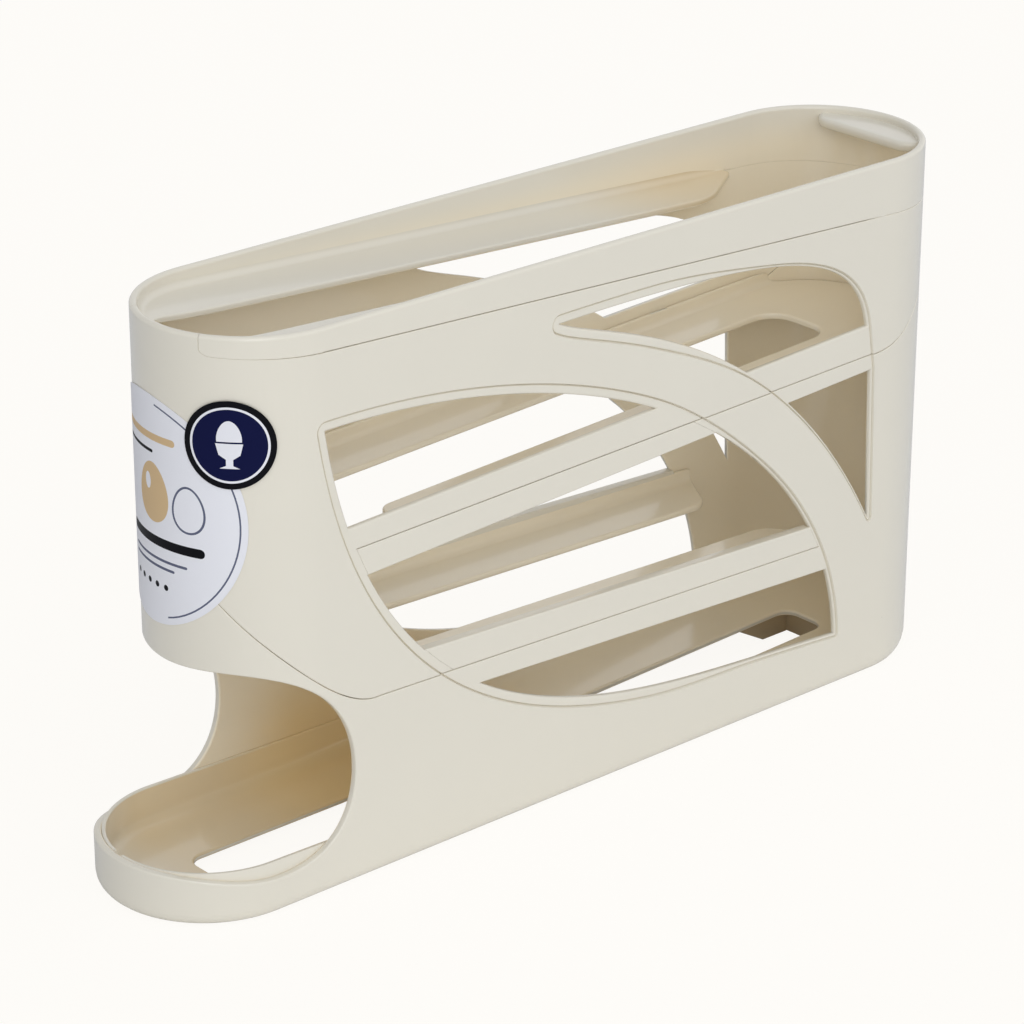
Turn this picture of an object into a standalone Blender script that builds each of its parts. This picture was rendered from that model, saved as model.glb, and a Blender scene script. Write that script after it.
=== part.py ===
"""Rolling egg dispenser: four sloped tracks in a tall two-part housing with an open exit tray.

Front, with the tray, is -Y. Z is up and 0 is the surface it stands on. Lengths are in metres.
"""

import math

import bmesh
import bpy
from mathutils import Vector

# Housing
BODY_WIDTH = 0.0800
BODY_LENGTH = 0.3500
BODY_HEIGHT = 0.2084
TRAY_REACH = 0.0240
WALL = 0.0028
RIM_ROUND = 0.0013
BASE_FILLET = 0.0050
BACK_FILLET = 0.0120
BASE_FLANGE = 0.0025
FOOT_WIDTH = 0.0040
FLANGE_CHAMFER = 0.0020
SEAT_GAP = 0.0003
OVERRUN = 0.0100
LEAST_STEP = 0.00001
ARC_STEPS = 32
CURVE_STEPS = 24

# Leaf-shaped window
LEAF_HEIGHT_SHARE = 0.715
LEAF_TO_BACK_SHARE = 0.18
LEAF_SILL_SHARE = 0.1089
LEAF_LOWER_SHARES = ((0, 1), (0.076, 0.167), (0.443, 0.025), (0.702, 0.041), (1, 0))
LEAF_ARC_START_SHARE = 0.0202
LEAF_ARC_DROP_SHARE = 0.0403

# Window over the strap
UPPER_LENGTH_SHARE = 0.4571
UPPER_HEIGHT_SHARE = 0.5629
UPPER_TO_BACK_SHARE = 0.1343
UPPER_SILL_SHARE = 0.3201
UPPER_TOP_SHARES = ((0.004, 1), (0.706, 1.018), (0.937, 0.951), (0.972, 0.674))
UPPER_SIDE_SHARES = ((0.989, 0.524), (1, 0))
UPPER_STRAP_SHARES = ((1, 0), (0.666, 0.834), (0.128, 0.907), (0.004, 1))

# Border band round the windows
BORDER_WIDTH = 0.0038
BORDER_DEPTH = 0.0006
BORDER_MITRE_LIMIT_SHARE = 1.42

# Rails across the windows, with their heights at mid length
UPPER_RAIL_TOP_SHARE = 0.6689
UPPER_RAIL_TOP_RISE = math.radians(2.64)
UPPER_RAIL_FOOT_SHARE = 0.5773
UPPER_RAIL_FOOT_RISE = math.radians(2.93)
LOWER_RAIL_TOP_SHARE = 0.3647
LOWER_RAIL_TOP_RISE = math.radians(-2.39)
LOWER_RAIL_FOOT_SHARE = 0.2706
LOWER_RAIL_FOOT_RISE = math.radians(-2.43)
LOWER_RAIL_END_SHARE = 0.1714

# Parting lines, with their heights at mid length
UPPER_SEAM_SHARE = 0.6204
UPPER_SEAM_RISE = math.radians(1.80)
LOWER_SEAM_SHARE = 0.3148
LOWER_SEAM_RISE = math.radians(-1.76)
FRONT_SEAM_LENGTH_SHARE = 0.1746
FRONT_SEAM_CREST_SHARE = 0.2831
FRONT_SEAM_SHARES = ((0, 1), (0.209, 0.474), (0.259, 0.589), (0.679, -0.032), (1, 0))
BACK_SEAM_LENGTH_SHARE = 0.138
BACK_SEAM_CREST_SHARE = 0.1631
BACK_SEAM_SHARES = ((0, 0), (0.436, -0.004), (0.538, 0.496), (0.861, 0.528), (1, 1))
BAND_LINE_SHARE = 0.9314
BAND_RISE = math.radians(-2.61)
BAND_START = 0.0046
BAND_CORNER = 0.0024

# Exit cut
EXIT_HEAD_SHARE = 0.4189
EXIT_DEPTH_SHARE = 0.2111
EXIT_WAIST_SHARE = 0.2164
EXIT_LIP_SHARE = 0.094
EXIT_HEAD_SHARES = ((0.678, 1), (0.399, 1.077), (0.047, 0.702), (0, 0))
EXIT_LIP_SHARES = ((0, 1), (0.061, -0.004), (0.263, -0.655), (0.671, -0.04), (1, 0))
EXIT_BLEND = 0.0060

# Tracks: ledge heights at the walls at mid length, slopes and openings
TRACK_FLOOR = 0.0024
TRACK_CROSS_FALL = 0.0011
TRACK_UPSTAND = 0.0045
TRACK_UPSTAND_WALL = 0.0016
TRACK_COVE = 0.0025
SLOT_WIDTH = 0.0310
SLOT_CORNER = 0.0100
LEDGE_CORNER = 0.0020
TOP_TRACK_HEIGHT_SHARE = 0.9376
TOP_TRACK_RISE = math.radians(-3.02)
TOP_DROP_SHARE = 0.1749
TOP_DROP_RAKE = 0.0160
TOP_DROP_CORNER = 0.0120
TOP_SLOT_START = 0.0130
SECOND_TRACK_HEIGHT_SHARE = 0.6267
SECOND_TRACK_RISE = math.radians(2.58)
SECOND_DROP_SHARE = 0.2206
SECOND_DROP_CORNER = 0.0060
SECOND_SLOT_START_SHARE = 0.1314
THIRD_TRACK_HEIGHT_SHARE = 0.3301
THIRD_TRACK_RISE = math.radians(-1.71)
THIRD_DROP_SHARE = 0.2206
THIRD_DROP_RAKE = 0.0120
THIRD_FRONT_SHARE = 0.1086
THIRD_SLOT_START_SHARE = 0.1657

# Snap beads that carry the second track
BEAD_LENGTH = 0.0080
BEAD_HEIGHT = 0.0010
BEAD_REACH = 0.0013
BEAD_LIFT = 0.0026
BEAD_FROM_FRONT_SHARE = 0.2657
BEAD_FROM_BACK_SHARE = 0.2486

# Ribs
RIB_THICKNESS = 0.0024
RIB_REACH = 0.0040
RIB_DEPTH = 0.0110
FRONT_RIB_SHARE = 0.1943
BACK_RIB_SPREAD = 0.0400
BACK_RIB_REACH = 0.0070

# Base track
BASE_FLOOR = 0.0022
BASE_FLAT_LENGTH_SHARE = 0.2971
BASE_RISE = math.radians(2.10)
BASE_UPSTAND_FRONT_SHARE = 0.0849
BASE_UPSTAND_BACK_SHARE = 0.0763
BASE_UPSTAND_WALL = 0.0014
BASE_COVE = 0.0035
BASE_SLOT_WIDTH = 0.0200
BASE_SLOT_CORNER = 0.0060
BASE_SLOT_FRONT = 0.0340
BASE_SLOT_BACK_SHARE = 0.1429
BASE_RIB_SPAN = 0.0690
BASE_RIB_BEHIND = 0.0080
BASE_ARCH_WIDTH = 0.0340
BASE_ARCH_SHARE = 0.7
LIP_NOTCH_WIDTH = 0.0045
LIP_NOTCH_DEPTH = 0.0022
LIP_NOTCH_TURN = math.radians(-5.0)

# Rest pad inside the back of the rim
PAD_WIDTH = 0.0540
PAD_REACH = 0.0165
PAD_THICKNESS = 0.0040
PAD_DROP = 0.0026
PAD_CORNER = 0.0090
PAD_ROUND = 0.0015

# Labels
LABEL_THICKNESS = 0.0003
FRONT_LABEL_SIZE = 0.0830
FRONT_LABEL_HEIGHT_SHARE = 0.6799
FRONT_LABEL_TURN = math.radians(-10.0)
ROUND_LABEL_SIZE = 0.0310
ROUND_LABEL_HEIGHT_SHARE = 0.821
ROUND_LABEL_TURN = math.radians(41.6)
LABEL_RINGS = 6
LABEL_STEPS = 40

# Colours and roughness
CREAM = (0.72, 0.66, 0.57)
LABEL_WHITE = (0.85, 0.85, 0.88)
LABEL_NAVY = (0.01, 0.015, 0.06)
SHELL_ROUGHNESS = 0.3
TRACK_ROUGHNESS = 0.32
LABEL_ROUGHNESS = 0.4
SHARPEST_SMOOTH_EDGE = math.radians(30)

# Sizes that follow the housing
LEAF_HEIGHT = BODY_HEIGHT * LEAF_HEIGHT_SHARE
LEAF_SILL = BODY_HEIGHT * LEAF_SILL_SHARE
UPPER_HEIGHT = BODY_HEIGHT * UPPER_HEIGHT_SHARE
UPPER_SILL = BODY_HEIGHT * UPPER_SILL_SHARE
UPPER_RAIL_TOP = BODY_HEIGHT * UPPER_RAIL_TOP_SHARE
UPPER_RAIL_FOOT = BODY_HEIGHT * UPPER_RAIL_FOOT_SHARE
LOWER_RAIL_TOP = BODY_HEIGHT * LOWER_RAIL_TOP_SHARE
LOWER_RAIL_FOOT = BODY_HEIGHT * LOWER_RAIL_FOOT_SHARE
UPPER_SEAM = BODY_HEIGHT * UPPER_SEAM_SHARE
LOWER_SEAM = BODY_HEIGHT * LOWER_SEAM_SHARE
FRONT_SEAM_CREST = BODY_HEIGHT * FRONT_SEAM_CREST_SHARE
BACK_SEAM_CREST = BODY_HEIGHT * BACK_SEAM_CREST_SHARE
BAND_LINE = BODY_HEIGHT * BAND_LINE_SHARE
EXIT_HEAD = BODY_HEIGHT * EXIT_HEAD_SHARE
EXIT_WAIST = BODY_HEIGHT * EXIT_WAIST_SHARE
EXIT_LIP = BODY_HEIGHT * EXIT_LIP_SHARE
TOP_TRACK_HEIGHT = BODY_HEIGHT * TOP_TRACK_HEIGHT_SHARE
SECOND_TRACK_HEIGHT = BODY_HEIGHT * SECOND_TRACK_HEIGHT_SHARE
THIRD_TRACK_HEIGHT = BODY_HEIGHT * THIRD_TRACK_HEIGHT_SHARE
BASE_UPSTAND_FRONT = BODY_HEIGHT * BASE_UPSTAND_FRONT_SHARE
BASE_UPSTAND_BACK = BODY_HEIGHT * BASE_UPSTAND_BACK_SHARE
FRONT_LABEL_HEIGHT = BODY_HEIGHT * FRONT_LABEL_HEIGHT_SHARE
ROUND_LABEL_HEIGHT = BODY_HEIGHT * ROUND_LABEL_HEIGHT_SHARE
LEAF_TO_BACK = BODY_LENGTH * LEAF_TO_BACK_SHARE
UPPER_LENGTH = BODY_LENGTH * UPPER_LENGTH_SHARE
UPPER_TO_BACK = BODY_LENGTH * UPPER_TO_BACK_SHARE
LOWER_RAIL_END = BODY_LENGTH * LOWER_RAIL_END_SHARE
FRONT_SEAM_LENGTH = BODY_LENGTH * FRONT_SEAM_LENGTH_SHARE
BACK_SEAM_LENGTH = BODY_LENGTH * BACK_SEAM_LENGTH_SHARE
TOP_DROP = BODY_LENGTH * TOP_DROP_SHARE
SECOND_DROP = BODY_LENGTH * SECOND_DROP_SHARE
SECOND_SLOT_START = BODY_LENGTH * SECOND_SLOT_START_SHARE
THIRD_DROP = BODY_LENGTH * THIRD_DROP_SHARE
THIRD_FRONT = BODY_LENGTH * THIRD_FRONT_SHARE
THIRD_SLOT_START = BODY_LENGTH * THIRD_SLOT_START_SHARE
BEAD_FROM_FRONT = BODY_LENGTH * BEAD_FROM_FRONT_SHARE
BEAD_FROM_BACK = BODY_LENGTH * BEAD_FROM_BACK_SHARE
FRONT_RIB = BODY_LENGTH * FRONT_RIB_SHARE
BASE_FLAT_LENGTH = BODY_LENGTH * BASE_FLAT_LENGTH_SHARE
BASE_SLOT_BACK = BODY_LENGTH * BASE_SLOT_BACK_SHARE
EXIT_DEPTH = BODY_LENGTH * EXIT_DEPTH_SHARE

# Derived places
HALF_WIDTH = BODY_WIDTH / 2
BACK_Y = (BODY_LENGTH + TRAY_REACH) / 2
TRAY_Y = -BACK_Y
FRONT_Y = BACK_Y - BODY_LENGTH
INNER_HALF = HALF_WIDTH - WALL
TRACK_HALF = INNER_HALF - SEAT_GAP
SLOT_HALF = SLOT_WIDTH / 2
BORDER_FACE = HALF_WIDTH - BORDER_DEPTH
HALF_GAP = SEAT_GAP / 2
LEAF_BACK_Y = BACK_Y - LEAF_TO_BACK
LEAF_FRONT_Y = FRONT_Y + HALF_WIDTH
LEAF_LENGTH = LEAF_BACK_Y - LEAF_FRONT_Y
UPPER_FRONT_Y = BACK_Y - UPPER_TO_BACK - UPPER_LENGTH
EXIT_BACK_Y = TRAY_Y + EXIT_DEPTH
FAR_Y = BACK_Y + OVERRUN
NEAR_Y = TRAY_Y - OVERRUN
FAR_Z = BODY_HEIGHT + OVERRUN


# Outlines

def line_height(mid_height, rise, y):
    """Height at y of a sloped line that has mid_height at y = 0."""
    return mid_height + math.tan(rise) * y


def bezier(points, steps=CURVE_STEPS):
    """Points along a Bezier curve through the first and last control point."""
    order = len(points) - 1
    result = []
    for step in range(steps + 1):
        t = step / steps
        weights = [math.comb(order, i) * (1 - t) ** (order - i) * t**i for i in range(order + 1)]
        result.append(tuple(sum(w * p[axis] for w, p in zip(weights, points)) for axis in (0, 1)))
    return result


def placed(shares, corner, length, height):
    """Shares of a length and a height as points measured from a corner."""
    return [(corner[0] + share[0] * length, corner[1] + share[1] * height) for share in shares]


def rounded(corners, steps=8):
    """A polygon of (x, y, radius) corners as points, with each corner rounded."""
    result = []
    count = len(corners)
    for index, (x, y, radius) in enumerate(corners):
        here = Vector((x, y))
        before = (Vector(corners[index - 1][:2]) - here).normalized()
        after = (Vector(corners[(index + 1) % count][:2]) - here).normalized()
        half = before.angle(after) / 2
        bisector = (before + after).normalized()
        centre = here + bisector * (radius / math.sin(half))
        start = here + before * (radius / math.tan(half)) - centre
        end = here + after * (radius / math.tan(half)) - centre
        turn = start.angle_signed(end)
        for step in range(steps + 1):
            angle = -turn * step / steps
            spin = Vector((
                start.x * math.cos(angle) - start.y * math.sin(angle),
                start.x * math.sin(angle) + start.y * math.cos(angle),
            ))
            point = tuple(centre + spin)
            if not result or math.dist(point, result[-1]) > LEAST_STEP:
                result.append(point)
    if math.dist(result[0], result[-1]) <= LEAST_STEP:
        result.pop()
    return result


def widened(outline, distance):
    """A closed outline moved outwards by a distance, with mitred corners up to a limit."""
    count = len(outline)
    area = sum(
        outline[i - 1][0] * outline[i][1] - outline[i][0] * outline[i - 1][1] for i in range(count)
    )
    side = 1 if area > 0 else -1
    result = []
    for index in range(count):
        here = Vector(outline[index])
        into = (here - Vector(outline[index - 1])).normalized()
        out = (Vector(outline[(index + 1) % count]) - here).normalized()
        normal_in = Vector((into.y, -into.x)) * side
        normal_out = Vector((out.y, -out.x)) * side
        middle = (normal_in + normal_out).normalized()
        stretch = min(1 / max(middle.dot(normal_in), 1e-6), BORDER_MITRE_LIMIT_SHARE)
        result.append(tuple(here + middle * distance * stretch))
    return result


def leaf_arc():
    """The long arc that bounds the leaf window above and behind, from its front tip."""
    centre_y = LEAF_FRONT_Y + LEAF_ARC_START_SHARE * LEAF_LENGTH
    drop = LEAF_ARC_DROP_SHARE * LEAF_HEIGHT
    reach = LEAF_BACK_Y - centre_y
    rise = LEAF_HEIGHT + drop
    first = math.acos(-LEAF_ARC_START_SHARE * LEAF_LENGTH / reach)
    last = math.asin(drop / rise)
    points = []
    for step in range(CURVE_STEPS * 2 + 1):
        angle = first + (last - first) * step / (CURVE_STEPS * 2)
        points.append((centre_y + reach * math.cos(angle), LEAF_SILL - drop + rise * math.sin(angle)))
    return points


def leaf_lower():
    """The curve that bounds the leaf window in front and below, from its front tip."""
    corner = (LEAF_FRONT_Y, LEAF_SILL)
    return bezier(placed(LEAF_LOWER_SHARES, corner, LEAF_LENGTH, LEAF_HEIGHT), CURVE_STEPS * 2)


def leaf_outline():
    """The whole leaf window."""
    return leaf_arc() + leaf_lower()[::-1][1:-1]


def upper_outline():
    """The whole window over the strap."""
    corner = (UPPER_FRONT_Y, UPPER_SILL)
    top = bezier(placed(UPPER_TOP_SHARES, corner, UPPER_LENGTH, UPPER_HEIGHT))
    side = placed(UPPER_SIDE_SHARES, corner, UPPER_LENGTH, UPPER_HEIGHT)
    strap = bezier(placed(UPPER_STRAP_SHARES, corner, UPPER_LENGTH, UPPER_HEIGHT))
    return top + side + strap[1:-1]


def y_at_height(curve, height):
    """The y at which a curve that runs down or up passes a height."""
    for (y0, z0), (y1, z1) in zip(curve, curve[1:]):
        if min(z0, z1) <= height <= max(z0, z1) and z0 != z1:
            return y0 + (y1 - y0) * (height - z0) / (z1 - z0)
    return curve[-1][0]


def seam_crossing(curve, mid_height, rise):
    """The y at which a curve crosses a sloped line."""
    level = [(y, z - line_height(0, rise, y)) for y, z in curve]
    return y_at_height(level, mid_height)


def front_seam():
    """The parting line from the nose down to the straight lower seam."""
    corner = (FRONT_Y, line_height(LOWER_SEAM, LOWER_SEAM_RISE, FRONT_Y + FRONT_SEAM_LENGTH))
    return bezier(placed(FRONT_SEAM_SHARES, corner, FRONT_SEAM_LENGTH, FRONT_SEAM_CREST))


def back_seam():
    """The parting line from the straight upper seam up to the back."""
    start = BACK_Y - BACK_SEAM_LENGTH
    corner = (start, line_height(UPPER_SEAM, UPPER_SEAM_RISE, start))
    return bezier(placed(BACK_SEAM_SHARES, corner, BACK_SEAM_LENGTH, BACK_SEAM_CREST))


def band_path(shift):
    """The line under the rim band from the rim at the nose to behind the body, moved up by shift."""
    start = FRONT_Y + BAND_START
    corner = (start + shift, line_height(BAND_LINE, BAND_RISE, start) + shift)
    return [
        (corner[0], FAR_Z),
        (corner[0], corner[1] + BAND_CORNER),
        (corner[0] + BAND_CORNER, corner[1]),
        (FAR_Y, line_height(BAND_LINE, BAND_RISE, FAR_Y) + shift),
    ]


def moved_up(points, shift):
    """Points of an outline moved up."""
    return [(y, z + shift) for y, z in points]


def lower_split_y():
    """Where the lower seam meets the leaf window's edge in front."""
    return seam_crossing(leaf_lower(), LOWER_SEAM, LOWER_SEAM_RISE)


def upper_split_y():
    """Where the upper seam meets the leaf window's arc."""
    return seam_crossing(leaf_arc()[::-1], UPPER_SEAM, UPPER_SEAM_RISE)


def between_rails(y):
    """A height in the open space between the two rails."""
    above = line_height(UPPER_RAIL_FOOT, UPPER_RAIL_FOOT_RISE, y)
    below = line_height(LOWER_RAIL_TOP, LOWER_RAIL_TOP_RISE, y)
    return (above + below) / 2


def edge_heights(low, high, count=5):
    """Evenly spaced heights from low to high."""
    return [low + (high - low) * step / (count - 1) for step in range(count)]


def leaf_front_edge(low, high, shift):
    """Points on the leaf window's front edge between two heights, moved back by shift."""
    return [(y_at_height(leaf_lower(), z) + shift, z) for z in edge_heights(low, high)]


def leaf_back_edge(low, high, shift):
    """Points on the leaf window's back edge between two heights, moved back by shift."""
    return [(y_at_height(leaf_arc()[::-1], z) + shift, z) for z in edge_heights(low, high)]


def upper_region():
    """Side view of everything that belongs to the upper shell."""
    split = lower_split_y() - HALF_GAP
    seam_start = seam_crossing(leaf_lower(), UPPER_SEAM, UPPER_SEAM_RISE)
    seam_height = line_height(UPPER_SEAM, UPPER_SEAM_RISE, seam_start) + HALF_GAP
    middle = between_rails(split)
    path = [(NEAR_Y, front_seam()[0][1] + HALF_GAP)]
    path += moved_up(front_seam(), HALF_GAP)
    path.append((split, line_height(LOWER_SEAM, LOWER_SEAM_RISE, split) + HALF_GAP))
    path.append((split, middle))
    path += leaf_front_edge(middle, seam_height, HALF_GAP)
    path += moved_up(back_seam(), HALF_GAP)
    path.append((FAR_Y, back_seam()[-1][1] + HALF_GAP))
    path += band_path(-HALF_GAP)[::-1]
    path.append((NEAR_Y, FAR_Z))
    return path


def lower_region():
    """Side view of everything that belongs to the lower shell."""
    upper_split = upper_split_y() + HALF_GAP
    rail_end = seam_crossing(leaf_arc()[::-1], LOWER_SEAM, LOWER_SEAM_RISE)
    seam_height = line_height(LOWER_SEAM, LOWER_SEAM_RISE, rail_end) - HALF_GAP
    middle = between_rails(upper_split)
    path = [(NEAR_Y, front_seam()[0][1] - HALF_GAP)]
    path += moved_up(front_seam(), -HALF_GAP)
    path += leaf_back_edge(seam_height, middle, -HALF_GAP)
    path.append((upper_split, middle))
    path.append((upper_split, line_height(UPPER_SEAM, UPPER_SEAM_RISE, upper_split) - HALF_GAP))
    path += moved_up(back_seam(), -HALF_GAP)
    path.append((FAR_Y, back_seam()[-1][1] - HALF_GAP))
    path.append((FAR_Y, -OVERRUN))
    path.append((NEAR_Y, -OVERRUN))
    return path


def band_region():
    """Side view of the skirt of the top track."""
    return band_path(HALF_GAP) + [(FAR_Y, FAR_Z)]


def second_flange_outline():
    """Side view of the second track's flange, the lower half of the upper rail in the leaf window."""
    end = upper_split_y() - HALF_GAP
    start = seam_crossing(leaf_lower(), UPPER_RAIL_FOOT, UPPER_RAIL_FOOT_RISE)
    seam_start = seam_crossing(leaf_lower(), UPPER_SEAM, UPPER_SEAM_RISE)
    low = line_height(UPPER_RAIL_FOOT, UPPER_RAIL_FOOT_RISE, start)
    high = line_height(UPPER_SEAM, UPPER_SEAM_RISE, seam_start) - HALF_GAP
    path = leaf_front_edge(low, high, HALF_GAP + SEAT_GAP)
    path.append((end, line_height(UPPER_SEAM, UPPER_SEAM_RISE, end) - HALF_GAP))
    path.append((end, line_height(UPPER_RAIL_FOOT, UPPER_RAIL_FOOT_RISE, end)))
    return path


def third_flange_outline():
    """Side view of the third track's flange, the upper half of the lower rail."""
    start = lower_split_y() + HALF_GAP
    seam_end = seam_crossing(leaf_arc()[::-1], LOWER_SEAM, LOWER_SEAM_RISE)
    top_end = seam_crossing(leaf_arc()[::-1], LOWER_RAIL_TOP, LOWER_RAIL_TOP_RISE)
    low = line_height(LOWER_SEAM, LOWER_SEAM_RISE, seam_end) + HALF_GAP
    high = line_height(LOWER_RAIL_TOP, LOWER_RAIL_TOP_RISE, top_end)
    path = [(start, line_height(LOWER_RAIL_TOP, LOWER_RAIL_TOP_RISE, start))]
    path.append((start, line_height(LOWER_SEAM, LOWER_SEAM_RISE, start) + HALF_GAP))
    path += leaf_back_edge(low, high, -HALF_GAP - SEAT_GAP)
    return path


def exit_outline():
    """Side view of the open exit, from in front of the nose round the opening to the lip."""
    reach = FRONT_Y - EXIT_BACK_Y
    head = [
        (EXIT_BACK_Y + share[0] * reach / EXIT_HEAD_SHARES[0][0], share[1])
        for share in EXIT_HEAD_SHARES
    ]
    head = [(y, EXIT_WAIST + share * (EXIT_HEAD - EXIT_WAIST)) for y, share in head]
    lip = [
        (EXIT_BACK_Y + share[0] * (TRAY_Y - EXIT_BACK_Y), EXIT_LIP + share[1] * (EXIT_WAIST - EXIT_LIP))
        for share in EXIT_LIP_SHARES
    ]
    path = [(NEAR_Y, EXIT_LIP), (NEAR_Y, EXIT_HEAD)]
    return path + bezier(head) + bezier(lip)[1:]


# Meshes

def make_object(name, mesh):
    """A new object in the scene that shows a mesh."""
    thing = bpy.data.objects.new(name, mesh)
    bpy.context.scene.collection.objects.link(thing)
    return thing


def finish_mesh(name, work):
    """A bmesh with its faces turned outwards, as a new object."""
    bmesh.ops.recalc_face_normals(work, faces=work.faces)
    mesh = bpy.data.meshes.new(name)
    work.to_mesh(mesh)
    work.free()
    return make_object(name, mesh)


def stacked(name, loops, closed):
    """A solid through equal loops of points, closed into a ring or capped at both ends."""
    work = bmesh.new()
    rows = [[work.verts.new(point) for point in loop] for loop in loops]
    pairs = list(zip(rows, rows[1:]))
    if closed:
        pairs.append((rows[-1], rows[0]))
    for lower, upper in pairs:
        for index in range(len(lower)):
            after = (index + 1) % len(lower)
            work.faces.new((lower[index], lower[after], upper[after], upper[index]))
    if not closed:
        work.faces.new(rows[0][::-1])
        work.faces.new(rows[-1])
    return finish_mesh(name, work)


def side_prism(name, outline, x_from, x_to):
    """A solid whose outline in the side view runs across the width."""
    return stacked(name, [[(x, y, z) for y, z in outline] for x in (x_from, x_to)], False)


def plan_prism(name, outline, z_from, z_to):
    """A solid whose outline in the plan view stands upright."""
    return stacked(name, [[(x, y, z) for x, y in outline] for z in (z_from, z_to)], False)


def sloped_bar(name, section, y_from, y_to, height):
    """A solid with a section of (x, lift) points that runs along Y at a sloped height."""
    ends = [[(x, y, height(y) + lift) for x, lift in section] for y in (y_from, y_to)]
    return stacked(name, ends, False)


def combined(thing, tool, operation):
    """The first solid after a Boolean with the second, which is used up."""
    modifier = thing.modifiers.new("cut", "BOOLEAN")
    modifier.operation = operation
    modifier.solver = "EXACT"
    modifier.object = tool
    depsgraph = bpy.context.evaluated_depsgraph_get()
    mesh = bpy.data.meshes.new_from_object(thing.evaluated_get(depsgraph))
    thing.modifiers.clear()
    thing.data = mesh
    bpy.data.objects.remove(tool)
    return thing


def duplicate(thing, name):
    """A copy of a solid with its own mesh."""
    return make_object(name, thing.data.copy())


def both_sides(maker):
    """One solid for each side of the middle plane, from a maker that takes the side's sign."""
    return [maker(side) for side in (-1, 1)]


# Housing

def stations():
    """Places round the plan outline, each an end and an angle."""
    turn = [math.pi * step / ARC_STEPS for step in range(ARC_STEPS + 1)]
    return [("front", math.pi + angle) for angle in turn] + [("back", angle) for angle in turn]


def plan_point(station, front_y, inset):
    """A point of the plan outline, moved inwards by inset."""
    end, angle = station
    centres = {"front": front_y + HALF_WIDTH, "bend": TRAY_Y + BASE_FLAT_LENGTH, "back": BACK_Y - HALF_WIDTH}
    centre_y = centres[end]
    radius = HALF_WIDTH - inset
    return radius * math.cos(angle), centre_y + radius * math.sin(angle)


def base_fillet(station):
    """Radius of the bottom edge, which grows towards the back."""
    end, angle = station
    if end == "front":
        return BASE_FILLET
    return BASE_FILLET + (BACK_FILLET - BASE_FILLET) * math.sin(angle) ** 2


def housing_section(station):
    """Section of the wall at a station, as (front, inset, height) from the foot round the rim."""
    fillet = base_fillet(station)
    chamfer = FLANGE_CHAMFER + fillet - BASE_FILLET
    quarter = [math.pi / 2 * step / 4 for step in range(5)]
    section = []
    for angle in quarter:
        section.append((TRAY_Y, fillet * (1 - math.sin(angle)), fillet * (1 - math.cos(angle))))
    section.append((TRAY_Y, 0, EXIT_WAIST - EXIT_BLEND))
    section.append((FRONT_Y, 0, EXIT_WAIST + EXIT_BLEND))
    for angle in quarter:
        drop = RIM_ROUND * (1 - math.sin(angle))
        section.append((FRONT_Y, RIM_ROUND * (1 - math.cos(angle)), BODY_HEIGHT - drop))
    for angle in quarter[::-1]:
        drop = RIM_ROUND * (1 - math.sin(angle))
        section.append((FRONT_Y, WALL - RIM_ROUND * (1 - math.cos(angle)), BODY_HEIGHT - drop))
    section.append((FRONT_Y, WALL, EXIT_WAIST + EXIT_BLEND))
    section.append((TRAY_Y, WALL, EXIT_WAIST - EXIT_BLEND))
    section.append((TRAY_Y, WALL, BASE_FLANGE + chamfer))
    section.append((TRAY_Y, WALL + chamfer, BASE_FLANGE))
    section.append((TRAY_Y, fillet + FOOT_WIDTH, BASE_FLANGE))
    section.append((TRAY_Y, fillet + FOOT_WIDTH, 0))
    return section


def whole_wall():
    """The wall of the whole housing before it is parted."""
    columns = []
    for station in stations():
        column = []
        for front_y, inset, height in housing_section(station):
            column.append((*plan_point(station, front_y, inset), height))
        columns.append(column)
    return stacked("wall", [list(loop) for loop in zip(*columns)], True)


def rail_strip(name, top, top_rise, foot, foot_rise, y_to):
    """A long strip across the housing with the outline of a rail."""
    outline = [
        (NEAR_Y, line_height(foot, foot_rise, NEAR_Y)),
        (y_to, line_height(foot, foot_rise, y_to)),
        (y_to, line_height(top, top_rise, y_to)),
        (NEAR_Y, line_height(top, top_rise, NEAR_Y)),
    ]
    return side_prism(name, outline, -BODY_WIDTH, BODY_WIDTH)


def window_cutter():
    """What the windows take from the wall, with the rails left out."""
    reach = HALF_WIDTH + OVERRUN
    windows = side_prism("windows", leaf_outline(), -reach, reach)
    windows = combined(windows, side_prism("upper_window", upper_outline(), -reach, reach), "UNION")
    upper_rail = rail_strip(
        "upper_rail", UPPER_RAIL_TOP, UPPER_RAIL_TOP_RISE, UPPER_RAIL_FOOT, UPPER_RAIL_FOOT_RISE, FAR_Y
    )
    windows = combined(windows, upper_rail, "DIFFERENCE")
    end = BACK_Y - LOWER_RAIL_END
    lower_rail = rail_strip(
        "lower_rail", LOWER_RAIL_TOP, LOWER_RAIL_TOP_RISE, LOWER_RAIL_FOOT, LOWER_RAIL_FOOT_RISE, end
    )
    return combined(windows, lower_rail, "DIFFERENCE")


def border_cutter():
    """The bands round the windows, sunk into both faces of the wall."""
    cutters = []
    for side in (-1, 1):
        for outline in (leaf_outline(), upper_outline()):
            band = widened(outline, BORDER_WIDTH)
            reach = (HALF_WIDTH + OVERRUN) * side
            cutters.append(side_prism("border", band, BORDER_FACE * side, reach))
    first = cutters.pop(0)
    for cutter in cutters:
        first = combined(first, cutter, "UNION")
    return first


def cut_wall():
    """The wall with its exit, windows, rails and borders."""
    reach = HALF_WIDTH + OVERRUN
    wall = whole_wall()
    wall = combined(wall, side_prism("exit", exit_outline(), -reach, reach), "DIFFERENCE")
    return combined(wall, combined(border_cutter(), window_cutter(), "UNION"), "DIFFERENCE")


def share_of_wall(wall, name, region):
    """The stretch of the wall inside a region of the side view."""
    reach = HALF_WIDTH + OVERRUN
    return combined(duplicate(wall, name), side_prism("region", region, -reach, reach), "INTERSECT")


# Tracks

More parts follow.
